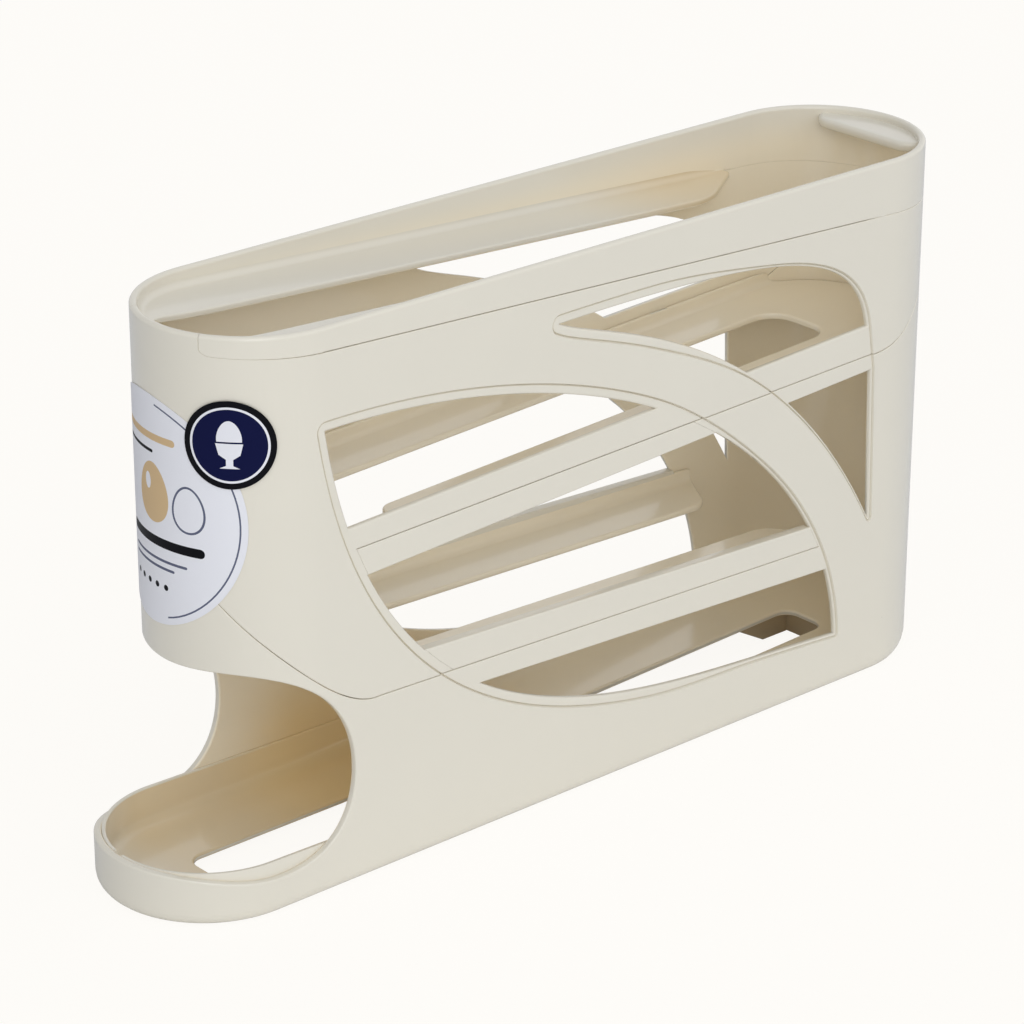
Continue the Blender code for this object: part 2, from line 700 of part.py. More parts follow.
def top_height(y):
    """Height of the top track's ledges at the walls."""
    return line_height(TOP_TRACK_HEIGHT, TOP_TRACK_RISE, y)


def second_height(y):
    """Height of the second track's ledges at the walls."""
    return line_height(SECOND_TRACK_HEIGHT, SECOND_TRACK_RISE, y)


def third_height(y):
    """Height of the third track's ledges at the walls."""
    return line_height(THIRD_TRACK_HEIGHT, THIRD_TRACK_RISE, y)


def ledge_section():
    """Section of the two ledges, which fall towards the slot and run past the wall line."""
    wide = HALF_WIDTH
    rise = TRACK_CROSS_FALL * WALL / (TRACK_HALF - SLOT_HALF)
    top = [(-wide, rise), (-SLOT_HALF, -TRACK_CROSS_FALL), (SLOT_HALF, -TRACK_CROSS_FALL), (wide, rise)]
    return top + [(x, lift - TRACK_FLOOR) for x, lift in top[::-1]]


def cove_points(wall_x, side):
    """A hollow rounding from a wall down to the ledge."""
    points = []
    for step in range(5):
        angle = -math.pi / 2 * step / 4
        x = wall_x - TRACK_COVE + TRACK_COVE * math.cos(angle)
        fall = TRACK_CROSS_FALL * (TRACK_HALF - x) / (TRACK_HALF - SLOT_HALF)
        points.append((side * x, TRACK_COVE * (1 + math.sin(angle)) - fall))
    points.append((side * (wall_x - TRACK_COVE), -TRACK_FLOOR / 2))
    return points


def upstand_section(side):
    """Section of the low wall that a track has against the housing, past the wall line."""
    inner = TRACK_HALF - TRACK_UPSTAND_WALL
    outer = side * (INNER_HALF + SEAT_GAP)
    points = [(outer, TRACK_UPSTAND), (side * inner, TRACK_UPSTAND)]
    return points + cove_points(inner, side) + [(outer, -TRACK_FLOOR / 2)]


def track_floor(name, plan, height):
    """Two ledges with upstands, trimmed to a plan outline."""
    floor = sloped_bar(name, ledge_section(), NEAR_Y, FAR_Y, height)
    for side in (-1, 1):
        bar = sloped_bar("upstand", upstand_section(side), NEAR_Y - OVERRUN, FAR_Y + OVERRUN, height)
        floor = combined(floor, bar, "UNION")
    return combined(floor, plan_prism("plan", plan, -OVERRUN, FAR_Z), "INTERSECT")


def second_plan():
    """Plan of the second track: closed behind, open in front for the drop."""
    front = FRONT_Y + WALL + SECOND_DROP
    back = BACK_Y - WALL - SEAT_GAP
    slot_end = BACK_Y - SECOND_SLOT_START
    half = [
        (SLOT_HALF, slot_end, SLOT_CORNER),
        (SLOT_HALF, front, SECOND_DROP_CORNER),
        (TRACK_HALF, front, LEDGE_CORNER),
        (TRACK_HALF, back, TRACK_HALF),
    ]
    return rounded(half + [(-x, y, radius) for x, y, radius in half[::-1]])


def third_plan():
    """Plan of the third track: closed in front, open behind for the drop."""
    front = FRONT_Y + THIRD_FRONT
    back = BACK_Y - WALL - THIRD_DROP
    half = [
        (SLOT_HALF, FRONT_Y + THIRD_SLOT_START, SLOT_CORNER),
        (SLOT_HALF, back, SLOT_CORNER),
        (TRACK_HALF, back + THIRD_DROP_RAKE, LEDGE_CORNER),
        (TRACK_HALF, front, LEDGE_CORNER),
    ]
    return rounded(half + [(-x, y, radius) for x, y, radius in half[::-1]])


def top_plan():
    """Plan of the top track: closed round the nose, open behind for the drop."""
    front = FRONT_Y + WALL + SEAT_GAP
    back = BACK_Y - WALL - TOP_DROP
    half = [
        (SLOT_HALF, FRONT_Y + TOP_SLOT_START, SLOT_CORNER),
        (SLOT_HALF, back, TOP_DROP_CORNER),
        (TRACK_HALF, back + TOP_DROP_RAKE, LEDGE_CORNER),
        (TRACK_HALF, front, TRACK_HALF),
    ]
    return rounded(half + [(-x, y, radius) for x, y, radius in half[::-1]])


def add_flange(track, outline):
    """Adds a flange that fills the rail from the upstand out to the border's face."""
    inner = TRACK_HALF - TRACK_UPSTAND_WALL + HALF_GAP
    for side in (-1, 1):
        flange = side_prism("flange", outline, side * inner, side * BORDER_FACE)
        track = combined(track, flange, "UNION")
    return track


def bead_places():
    """The y of each snap bead."""
    return FRONT_Y + BEAD_FROM_FRONT, BACK_Y - BEAD_FROM_BACK


def bead(side, y, clearance):
    """A snap bead on the inner face of the upper rail, or its slot when given a clearance."""
    lift = second_height(y) + BEAD_LIFT
    length = BEAD_LENGTH / 2 + clearance
    height = BEAD_HEIGHT / 2 + clearance
    outline = [(y - length, lift - height), (y + length, lift - height)]
    outline += [(y + length, lift + height), (y - length, lift + height)]
    inner = INNER_HALF - BEAD_REACH - clearance
    outer = INNER_HALF + WALL / 4
    if clearance:
        inner = TRACK_HALF - TRACK_UPSTAND_WALL - TRACK_COVE
    return side_prism("bead", outline, side * inner, side * outer)


def second_track():
    """The second track, with its flange in the leaf window and slots for the beads."""
    track = track_floor("second_track", second_plan(), second_height)
    for side in (-1, 1):
        for y in bead_places():
            track = combined(track, bead(side, y, SEAT_GAP), "DIFFERENCE")
    return add_flange(track, second_flange_outline())


def third_track():
    """The third track, whose flange rests on the lower half of the lower rail."""
    track = track_floor("third_track", third_plan(), third_height)
    return add_flange(track, third_flange_outline())


def rim_cove(side):
    """The rounding that joins the top track's ledge to its skirt."""
    outer = INNER_HALF + WALL / 2
    low = TRACK_FLOOR / 4
    foot = TRACK_HALF - HALF_GAP
    section = [(side * outer, TRACK_COVE), *cove_points(INNER_HALF, side)]
    section += [(side * foot, -TRACK_FLOOR / 2), (side * foot, low), (side * outer, low)]
    start = FRONT_Y + HALF_WIDTH + LEDGE_CORNER
    end = BACK_Y - WALL - TOP_DROP + TOP_DROP_RAKE - LEDGE_CORNER
    return sloped_bar("cove", section, start, end, top_height)


def rest_pad():
    """The rounded pad inside the back of the rim."""
    inner = BACK_Y - PAD_REACH - WALL / 2
    half = PAD_WIDTH / 2
    outline = rounded([
        (-half, inner, PAD_CORNER),
        (half, inner, PAD_CORNER),
        (half, BACK_Y + PAD_REACH, PAD_CORNER),
        (-half, BACK_Y + PAD_REACH, PAD_CORNER),
    ])
    top = BODY_HEIGHT - PAD_DROP
    low = top - PAD_THICKNESS
    middle = [(low, PAD_ROUND), (low + PAD_ROUND / 4, PAD_ROUND / 4), (low + PAD_ROUND, 0)]
    middle += [(top - PAD_ROUND, 0), (top - PAD_ROUND / 4, PAD_ROUND / 4), (top, PAD_ROUND)]
    loops = []
    for height, inset in middle:
        loops.append([(x, y, height) for x, y in widened(outline, -inset)])
    pad = stacked("pad", loops, False)
    turn = [math.tau * step / (ARC_STEPS * 2) for step in range(ARC_STEPS * 2)]
    radius = INNER_HALF + WALL / 2
    centre = BACK_Y - HALF_WIDTH
    disc = [(radius * math.cos(angle), centre + radius * math.sin(angle)) for angle in turn]
    return combined(pad, plan_prism("disc", disc, low - OVERRUN, top + OVERRUN), "INTERSECT")


def top_track(wall):
    """The top track: ledges and the skirt that carries the rim."""
    skirt = share_of_wall(wall, "top_track", band_region())
    floor = sloped_bar("ledges", ledge_section(), NEAR_Y, FAR_Y, top_height)
    plan = plan_prism("plan", top_plan(), -OVERRUN, FAR_Z)
    skirt = combined(skirt, combined(floor, plan, "INTERSECT"), "UNION")
    for side in (-1, 1):
        skirt = combined(skirt, rim_cove(side), "UNION")
    return combined(skirt, rest_pad(), "UNION")


# Shells

def upper_shell(wall):
    """The upper shell with the beads that hold the second track."""
    shell = share_of_wall(wall, "upper_shell", upper_region())
    for side in (-1, 1):
        for y in bead_places():
            shell = combined(shell, bead(side, y, 0), "UNION")
    return shell


def front_rib(side):
    """A gusset under the front of the third track."""
    y = FRONT_Y + FRONT_RIB
    top = third_height(y) - TRACK_FLOOR - TRACK_CROSS_FALL / 4 - SEAT_GAP
    outer = INNER_HALF + WALL / 4
    section = [(side * outer, TRACK_HALF - outer), (side * TRACK_HALF, 0)]
    section += [(side * (INNER_HALF - RIB_REACH), 0), (side * outer, -RIB_DEPTH)]
    half = RIB_THICKNESS / 2
    return sloped_bar("front_rib", section, y - half, y + half, lambda _: top)


def back_rib(side):
    """A gusset inside the back that the second track's end rests on."""
    x = side * BACK_RIB_SPREAD / 2
    wall_y = BACK_Y - HALF_WIDTH + math.sqrt(INNER_HALF**2 - x**2)
    inner = wall_y - BACK_RIB_REACH
    outer = wall_y + WALL / 4
    top = second_height(inner) - TRACK_FLOOR - TRACK_CROSS_FALL - SEAT_GAP
    outline = [(inner, top), (outer, top), (outer, top - RIB_DEPTH)]
    half = RIB_THICKNESS / 2
    return side_prism("back_rib", outline, x - half, x + half)


def lower_shell(wall):
    """The lower shell with the gussets that carry the tracks."""
    shell = share_of_wall(wall, "lower_shell", lower_region())
    for rib in both_sides(front_rib) + both_sides(back_rib):
        shell = combined(shell, rib, "UNION")
    return shell


# Base track

def base_height(y):
    """Height of the base track's floor: level in the tray, then rising to the back."""
    level = BASE_FLANGE + SEAT_GAP + BASE_FLOOR
    return level + math.tan(BASE_RISE) * max(0, y - TRAY_Y - BASE_FLAT_LENGTH)


def base_stations():
    """Places round the base track, with one on each side where its floor starts to rise."""
    places = stations()
    turned = ARC_STEPS + 1
    return places[:turned] + [("bend", 0)] + places[turned:] + [("bend", math.pi)]


def base_upstand_section(station):
    """Section of the base track's upstand at a station."""
    inner = WALL + SEAT_GAP
    _, y = plan_point(station, TRAY_Y, inner)
    floor = base_height(y)
    low = floor - BASE_FLOOR
    share = (y - TRAY_Y) / (BACK_Y - TRAY_Y)
    top = BASE_UPSTAND_FRONT + (BASE_UPSTAND_BACK - BASE_UPSTAND_FRONT) * share
    face = inner + BASE_UPSTAND_WALL
    hip = min(floor + BASE_COVE, (floor + top) / 2)
    section = [
        (inner + FLANGE_CHAMFER, low),
        (inner, low + FLANGE_CHAMFER),
        (inner, top),
        (face, top),
        (face, hip),
        (face + BASE_COVE / 4, floor + (hip - floor) / 3),
        (face + BASE_COVE, floor - BASE_FLOOR / 8),
        (face + BASE_COVE, low + BASE_FLOOR / 2),
    ]
    return [(*plan_point(station, TRAY_Y, inset), height) for inset, height in section]


def base_plate():
    """The base track's floor, bent where the tray ends."""
    bend = TRAY_Y + BASE_FLAT_LENGTH
    tops = [(y, base_height(y)) for y in (NEAR_Y, bend, FAR_Y)]
    outline = tops + [(y, z - BASE_FLOOR) for y, z in tops[::-1]]
    plate = side_prism("plate", outline, -HALF_WIDTH, HALF_WIDTH)
    half = TRACK_HALF - BASE_UPSTAND_WALL - BASE_COVE / 2
    end = BACK_Y - HALF_WIDTH + half - SEAT_GAP
    plan = rounded([(half, -end, half), (half, end, half), (-half, end, half), (-half, -end, half)])
    return combined(plate, plan_prism("plan", plan, -OVERRUN, FAR_Z), "INTERSECT")


def base_rib():
    """The arched rib under the floor behind the slot."""
    y = BACK_Y - BASE_SLOT_BACK + BASE_RIB_BEHIND
    low = BASE_FLANGE + SEAT_GAP
    top = base_height(y) - BASE_FLOOR / 2
    half = BASE_RIB_SPAN / 2
    arch = BASE_ARCH_WIDTH / 2
    rise = (top - low) * BASE_ARCH_SHARE
    section = [(-half, top), (-half, low)]
    for step in range(13):
        angle = math.pi * (1 - step / 12)
        section.append((arch * math.cos(angle), low + rise * math.sin(angle)))
    section += [(half, low), (half, top)]
    end = RIB_THICKNESS / 2
    return sloped_bar("base_rib", section, y - end, y + end, lambda _: 0)


def lip_notch():
    """The small notch in the base track's upstand at the nose."""
    centre = TRAY_Y + HALF_WIDTH
    inner = HALF_WIDTH - WALL - SEAT_GAP - BASE_UPSTAND_WALL - BASE_COVE
    outer = HALF_WIDTH - WALL - SEAT_GAP / 2
    across = LIP_NOTCH_WIDTH / 2
    sine = math.sin(LIP_NOTCH_TURN)
    cosine = math.cos(LIP_NOTCH_TURN)
    outline = []
    for reach, offset in ((inner, -across), (inner, across), (outer, across), (outer, -across)):
        outline.append((reach * sine + offset * cosine, centre - reach * cosine + offset * sine))
    low = BASE_UPSTAND_FRONT - LIP_NOTCH_DEPTH
    return plan_prism("lip_notch", outline, low, BASE_UPSTAND_FRONT + OVERRUN)


def base_track():
    """The floor of the housing and the tray, with its long slot."""
    columns = [base_upstand_section(station) for station in base_stations()]
    track = stacked("base_track", [list(loop) for loop in zip(*columns)], True)
    track = combined(track, base_plate(), "UNION")
    half = BASE_SLOT_WIDTH / 2
    front = TRAY_Y + BASE_SLOT_FRONT
    back = BACK_Y - BASE_SLOT_BACK
    corners = [(half, front), (half, back), (-half, back), (-half, front)]
    slot = rounded([(x, y, BASE_SLOT_CORNER) for x, y in corners])
    track = combined(track, plan_prism("slot", slot, -OVERRUN, FAR_Z), "DIFFERENCE")
    track = combined(track, base_rib(), "UNION")
    return combined(track, lip_notch(), "DIFFERENCE")


# Labels

def curved_disc(name, size, height, turn, radius):
    """A thin disc laid round the nose of the housing."""
    centre_y = FRONT_Y + HALF_WIDTH

    def at(reach, angle, distance):
        swing = turn + reach * math.cos(angle) / HALF_WIDTH
        z = height + reach * math.sin(angle)
        return distance * math.sin(swing), centre_y - distance * math.cos(swing), z

    angles = [math.tau * step / LABEL_STEPS for step in range(LABEL_STEPS)]
    work = bmesh.new()
    skins = []
    for distance in (radius, radius + LABEL_THICKNESS):
        middle = work.verts.new(at(0, 0, distance))
        rings = []
        for ring in range(1, LABEL_RINGS + 1):
            reach = size / 2 * ring / LABEL_RINGS
            rings.append([work.verts.new(at(reach, angle, distance)) for angle in angles])
        skins.append(rings)
        for index in range(LABEL_STEPS):
            after = (index + 1) % LABEL_STEPS
            work.faces.new((middle, rings[0][index], rings[0][after]))
            for inner, outer in zip(rings, rings[1:]):
                work.faces.new((inner[index], outer[index], outer[after], inner[after]))
    for index in range(LABEL_STEPS):
        after = (index + 1) % LABEL_STEPS
        lower = skins[0][-1]
        upper = skins[1][-1]
        work.faces.new((lower[index], lower[after], upper[after], upper[index]))
    return finish_mesh(name, work)


def front_label():
    """The large pale sticker."""
    radius = HALF_WIDTH + SEAT_GAP
    return curved_disc("front_label", FRONT_LABEL_SIZE, FRONT_LABEL_HEIGHT, FRONT_LABEL_TURN, radius)


def round_label():
    """The small dark sticker, which laps over the large one."""
    radius = HALF_WIDTH + SEAT_GAP + LABEL_THICKNESS + SEAT_GAP
    return curved_disc("round_label", ROUND_LABEL_SIZE, ROUND_LABEL_HEIGHT, ROUND_LABEL_TURN, radius)


# Finish

def plastic(name, color, roughness):
    """A plain glossy plastic."""
    material = bpy.data.materials.new(name)
    material.use_nodes = True
    shader = material.node_tree.nodes["Principled BSDF"]
    shader.inputs["Base Color"].default_value = (*color, 1)
    shader.inputs["Roughness"].default_value = roughness
    shader.inputs["Metallic"].default_value = 0
    return material


def dress(thing, color, roughness):
    """Gives a solid its material and smooth shading."""
    thing.data.materials.clear()
    thing.data.materials.append(plastic(thing.name + "_plastic", color, roughness))
    for face in thing.data.polygons:
        face.material_index = 0
    thing.data.shade_smooth()
    thing.data.set_sharp_from_angle(angle=SHARPEST_SMOOTH_EDGE)


def clear_scene():
    """Removes every object that the scene starts with."""
    for thing in list(bpy.data.objects):
        bpy.data.objects.remove(thing)


def build():
    """Makes every piece of the dispenser."""
    clear_scene()
    wall = cut_wall()
    dress(lower_shell(wall), CREAM, SHELL_ROUGHNESS)
    dress(upper_shell(wall), CREAM, SHELL_ROUGHNESS)
    dress(top_track(wall), CREAM, SHELL_ROUGHNESS)
    bpy.data.objects.remove(wall)
    dress(second_track(), CREAM, TRACK_ROUGHNESS)
    dress(third_track(), CREAM, TRACK_ROUGHNESS)
    dress(base_track(), CREAM, TRACK_ROUGHNESS)
    dress(front_label(), LABEL_WHITE, LABEL_ROUGHNESS)
    dress(round_label(), LABEL_NAVY, LABEL_ROUGHNESS)


build()
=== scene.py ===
"""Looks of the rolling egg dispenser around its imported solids. Lengths are in metres, -Y is the tray."""

import math

import bmesh
import bpy
import numpy as np
from mathutils import Matrix, Vector
from mathutils.geometry import delaunay_2d_cdt

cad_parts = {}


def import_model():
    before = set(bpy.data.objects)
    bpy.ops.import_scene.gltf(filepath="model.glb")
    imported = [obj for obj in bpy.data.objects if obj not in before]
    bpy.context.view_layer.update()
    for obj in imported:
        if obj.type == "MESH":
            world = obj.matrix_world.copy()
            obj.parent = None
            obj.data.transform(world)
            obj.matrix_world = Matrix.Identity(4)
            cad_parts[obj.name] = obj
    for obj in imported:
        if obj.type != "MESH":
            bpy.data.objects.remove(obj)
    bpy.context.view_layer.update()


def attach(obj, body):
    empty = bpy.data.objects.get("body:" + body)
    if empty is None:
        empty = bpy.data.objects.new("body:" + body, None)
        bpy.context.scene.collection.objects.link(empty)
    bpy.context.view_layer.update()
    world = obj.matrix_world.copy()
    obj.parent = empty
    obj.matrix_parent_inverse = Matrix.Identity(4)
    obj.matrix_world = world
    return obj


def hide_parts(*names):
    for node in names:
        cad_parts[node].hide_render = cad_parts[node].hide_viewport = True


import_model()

# Camera
CAMERA_PLACE = (0.94305, -0.83747, 0.63418)
CAMERA_TURN = math.radians(48.6178)
CAMERA_PITCH = math.radians(23.1204)
CAMERA_ROLL = math.radians(0.0517)
CAMERA_LENS = 132.52

# Studio
FLOOR_SIZE = 6.0
LAMP_AIM = (0.0, 0.0, 0.1)
BACKDROP = (0.985, 0.967, 0.932, 1)
SKY_DIM = (0.13, 0.135, 0.145, 1)
SKY_BRIGHT = (1.07, 1.11, 1.19, 1)
SKY_SIDE = (0.92, -0.15, 0.30)
SKY_DARK_END = -0.6
LAMP_COLOUR = (0.95, 0.98, 1.0)
KEY_PLACE = (1.35, -0.95, 0.8)
KEY_WIDTH = 0.8
KEY_HEIGHT = 1.4
KEY_POWER = 4.5
FLOOR_COLOUR = (0.93, 0.92, 0.90, 1)
FLOOR_GLOW = 1.03
FLOOR_GLOW_SHARE = 0.93

# Colours
CREAM = (0.80, 0.745, 0.62, 1)
# The next four colours are the same cream plastic with painted light and shade: warm light inside, deep
# shade low inside, shade under the floor, and a tan shade
CREAM_INSIDE_LIGHT = (0.94, 0.84, 0.645, 1)
CREAM_DEEP_SHADE = (0.87, 0.67, 0.36, 1)
CREAM_UNDER_SHADE = (0.46, 0.35, 0.21, 1)
CREAM_TAN_SHADE = (0.78, 0.635, 0.41, 1)
LABEL_WHITE = (0.83, 0.82, 0.84, 1)
LABEL_NAVY = (0.004, 0.006, 0.045, 1)
LABEL_TAN = (0.66, 0.47, 0.26, 1)
LABEL_INK = (0.004, 0.004, 0.006, 1)
LABEL_GREY = (0.12, 0.13, 0.19, 1)

# Painted light and shade on the inner faces, as axis, two places and the colour it reaches: deeper shade
# low in the middle of the housing, the outer cream near the rim
INSIDE_PAINTED_SHADING = (
    ("Y", -0.115, -0.075, CREAM_DEEP_SHADE), ("Y", -0.040, 0.020, CREAM_INSIDE_LIGHT),
    ("Z", 0.022, 0.060, CREAM_INSIDE_LIGHT), ("Z", 0.192, 0.2075, CREAM),
)
# Painted shade on the base track's floor: tan in the tray, deeper under the body, lighter towards the back
# windows
FLOOR_PAINTED_SHADING = (
    ("Y", -0.185, -0.150, CREAM_TAN_SHADE), ("Y", -0.125, -0.080, CREAM_DEEP_SHADE),
    ("Y", -0.040, 0.030, CREAM_INSIDE_LIGHT),
)
# Painted shade on the top ledges, which turn tan towards the back
LEDGE_PAINTED_SHADING = (("Y", 0.040, 0.110, CREAM_TAN_SHADE),)
OUTER_ROUGHNESS = 0.26
INSIDE_ROUGHNESS = 0.30
LEDGE_ROUGHNESS = 0.28
UNDER_ROUGHNESS = 0.36
LABEL_ROUGHNESS = 0.42

# Copies of the cream plastic with painted light and shade on a piece, counted after its outer tone
INSIDE = 1
FLOOR = 2
LEDGE = 3
UNDER = 4

# Sizes that the solids have, repeated for the finer mouldings
HEIGHT = 0.2084
LENGTH = 0.3500
HALF_WIDTH = 0.0400
BACK_Y = 0.1870
TRAY_Y = -0.1870
FRONT_Y = -0.1630
WALL = 0.0028
GAP = 0.0003
HALF_GAP = GAP / 2
INNER_HALF = HALF_WIDTH - WALL
TRACK_HALF = INNER_HALF - GAP
BORDER_DEPTH = 0.0006
BORDER_WIDTH = 0.0038
BORDER_NARROW = 0.0014
BORDER_SLOPE = 0.00018
BORDER_FACE = HALF_WIDTH - BORDER_DEPTH
NARROWING = (0.0250, 0.0850)
GROOVE_DEPTH = 0.0007
GROOVE_INSET = 0.00038
GROOVE_HALF = 0.00034
BASE_FILLET = 0.0050
BACK_FILLET = 0.0120
BASE_FLANGE = 0.0025
FOOT_WIDTH = 0.0040
FLANGE_CHAMFER = 0.0020
BODY_TURN_Y = FRONT_Y + HALF_WIDTH
TRAY_TURN_Y = TRAY_Y + HALF_WIDTH
BACK_TURN_Y = BACK_Y - HALF_WIDTH
OUTSIDE = 0.0100
BEFORE_Y = TRAY_Y - OUTSIDE
BEHIND_Y = BACK_Y + OUTSIDE

LEAF_BACK_Y = BACK_Y - 0.18 * LENGTH
LEAF_FRONT_Y = BODY_TURN_Y
LEAF_LENGTH = LEAF_BACK_Y - LEAF_FRONT_Y
LEAF_HEIGHT = 0.715 * HEIGHT
LEAF_SILL = 0.1089 * HEIGHT
LEAF_LOWER_SHARES = ((0, 1), (0.076, 0.167), (0.443, 0.025), (0.702, 0.041), (1, 0))
LEAF_ARC_START_SHARE = 0.0202
LEAF_ARC_DROP_SHARE = 0.0403
UPPER_LENGTH = 0.4571 * LENGTH
UPPER_FRONT_Y = BACK_Y - 0.1343 * LENGTH - UPPER_LENGTH
UPPER_HEIGHT = 0.5629 * HEIGHT
UPPER_SILL = 0.3201 * HEIGHT
UPPER_TOP_SHARES = ((0.004, 1), (0.706, 1.018), (0.937, 0.951), (0.972, 0.674))
UPPER_SIDE_SHARES = ((0.989, 0.524), (1, 0))
UPPER_STRAP_SHARES = ((1, 0), (0.666, 0.834), (0.128, 0.907), (0.004, 1))

# Sloped lines as height at mid length and rise
UPPER_RAIL_TOP = (0.6689 * HEIGHT, math.radians(2.64))
UPPER_RAIL_FOOT = (0.5773 * HEIGHT, math.radians(2.93))
LOWER_RAIL_TOP = (0.3647 * HEIGHT, math.radians(-2.39))
LOWER_RAIL_FOOT = (0.2706 * HEIGHT, math.radians(-2.43))
UPPER_SEAM = (0.6204 * HEIGHT, math.radians(1.80))
LOWER_SEAM = (0.3148 * HEIGHT, math.radians(-1.76))
BAND_LINE = (0.9314 * HEIGHT, math.radians(-2.61))
TOP_TRACK = (0.9376 * HEIGHT, math.radians(-3.02))
SECOND_TRACK = (0.6267 * HEIGHT, math.radians(2.58))
THIRD_TRACK = (0.3301 * HEIGHT, math.radians(-1.71))
LOWER_RAIL_END_Y = BACK_Y - 0.1714 * LENGTH
FRONT_SEAM_LENGTH = 0.1746 * LENGTH
FRONT_SEAM_CREST = 0.2831 * HEIGHT
FRONT_SEAM_SHARES = ((0, 1), (0.209, 0.474), (0.259, 0.589), (0.679, -0.032), (1, 0))
BACK_SEAM_LENGTH = 0.138 * LENGTH
BACK_SEAM_CREST = 0.1631 * HEIGHT
BACK_SEAM_SHARES = ((0, 0), (0.436, -0.004), (0.538, 0.496), (0.861, 0.528), (1, 1))
BAND_START = 0.0046
BAND_CORNER = 0.0024
BAND_HAIRLINE = 0.0100
BAND_OPENING = 0.0300
BAND_FADE_Y = 0.1390
BAND_FADE = 0.0080
ABOVE_SEAMS = 0.9 * HEIGHT

EXIT_HEAD = 0.4189 * HEIGHT
EXIT_WAIST = 0.2164 * HEIGHT
EXIT_LIP = 0.094 * HEIGHT
EXIT_BACK_Y = TRAY_Y + 0.2111 * LENGTH
EXIT_HEAD_SHARES = ((0.678, 1), (0.399, 1.077), (0, 0.702), (0, 0))
EXIT_LIP_SHARES = ((0, 1), (0, -0.004), (0.263, -0.655), (0.671, -0.04), (1, 0))

TRACK_FLOOR = 0.0024
TRACK_CROSS_FALL = 0.0011
TRACK_UPSTAND = 0.0045
TRACK_UPSTAND_WALL = 0.0016
TRACK_COVE = 0.0025
UPSTAND_DRAFT = 0.00006
UPSTAND_CORNER = 0.00045
SLOT_HALF = 0.0155
SLOT_CORNER = 0.0100
LEDGE_CORNER = 0.0020

# Rounding of edges and how closely curves are followed
CURVE_STEP = 0.0020
TURN_STEPS = 40
LEAF_STEPS = 96
WINDOW_STEPS = 100
SEAM_STEPS = 60
EXIT_STEPS = 80
RING_SHARES = (0.134, 0.5, 1.0)
RING_GUARD = 0.0003
WINDOW_ROUND = (0.0008, 0.0005)
RAIL_ROUND = (0.0006, 0.0005)
JOINT_ROUND = (0.00006, 0.00006)
JOINT_HALF_GAP = 0.00004
FAINT_HALF_GAP = 0.000012
EXIT_ROUND = (0.0006, 0.0006)
RIM_ROUND = (0.0013, 0.0013)
SEAM_ROUND = (0.00032, 0.00015)
TRACK_ROUND = (0.0007, 0.0006)
SMALL_ROUND = (0.0003, 0.0003)
BORDER_RINGS = (-0.00105, -0.00072, -0.00055, -0.00038, -0.00021, -0.00006, 0.00006, 0.00018, 0.0004)
NEAR_EDGE = 0.00003
NEAR_LEAF = 0.0002
EDGE_STEPS = 24
CORNER_STEPS = 8
SEARCH_CELL = 0.0120
SAME_POINT = 1e-6
CLOSE_POINT = 1e-5
OUTER_ARC_TURN = 0.2
MITRE_LIMIT = 3
SHARP_ANGLE = math.radians(40)
COVE_STEPS = 5
RIM_SHARES = (0.03, 0.134, 0.3, 0.5, 0.75, 1)


# Outlines in the side view, as (y, z)

def line_height(line, y):
    """Height at y of a sloped line, given as its height at mid length and its rise."""
    return line[0] + math.tan(line[1]) * y


def bezier(points, steps):
    """Points along a Bezier curve through the first and last control point."""
    order = len(points) - 1
    result = []
    for step in range(steps + 1):
        t = step / steps
        weights = [math.comb(order, i) * (1 - t) ** (order - i) * t**i for i in range(order + 1)]
        result.append(tuple(sum(w * p[axis] for w, p in zip(weights, points)) for axis in (0, 1)))
    return result


def placed(shares, corner, length, height):
    """Shares of a length and a height as points measured from a corner."""
    return [(corner[0] + share[0] * length, corner[1] + share[1] * height) for share in shares]


def leaf_arc():
    """The long arc that bounds the leaf window above and behind, from its front tip."""
    centre_y = LEAF_FRONT_Y + LEAF_ARC_START_SHARE * LEAF_LENGTH
    drop = LEAF_ARC_DROP_SHARE * LEAF_HEIGHT
    reach = LEAF_BACK_Y - centre_y
    rise = LEAF_HEIGHT + drop
    first = math.acos(-LEAF_ARC_START_SHARE * LEAF_LENGTH / reach)
    last = math.asin(drop / rise)
    turns = [first + (last - first) * step / LEAF_STEPS for step in range(LEAF_STEPS + 1)]
    return [(centre_y + reach * math.cos(a), LEAF_SILL - drop + rise * math.sin(a)) for a in turns]


def leaf_lower():
    """The curve that bounds the leaf window in front and below, from its front tip."""
    corner = (LEAF_FRONT_Y, LEAF_SILL)
    return bezier(placed(LEAF_LOWER_SHARES, corner, LEAF_LENGTH, LEAF_HEIGHT), LEAF_STEPS)


def leaf_outline():
    """The whole leaf window, closed."""
    return leaf_arc() + leaf_lower()[::-1][1:-1] + leaf_arc()[:1]


def upper_outline():
    """The whole window over the strap, closed."""
    corner = (UPPER_FRONT_Y, UPPER_SILL)
    top, side, strap = (
        placed(shares, corner, UPPER_LENGTH, UPPER_HEIGHT)
        for shares in (UPPER_TOP_SHARES, UPPER_SIDE_SHARES, UPPER_STRAP_SHARES)
    )
    return bezier(top, WINDOW_STEPS) + side + bezier(strap, WINDOW_STEPS)[1:]


def y_at_height(curve, height):
    """The y at which a curve that runs down or up passes a height."""
    for (y0, z0), (y1, z1) in zip(curve, curve[1:]):
        if min(z0, z1) <= height <= max(z0, z1) and z0 != z1:
            return y0 + (y1 - y0) * (height - z0) / (z1 - z0)
    return curve[-1][0]


def crossing(curve, line):
    """The y at which a curve crosses a sloped line."""
    return y_at_height([(y, z - line_height((0, line[1]), y)) for y, z in curve], line[0])


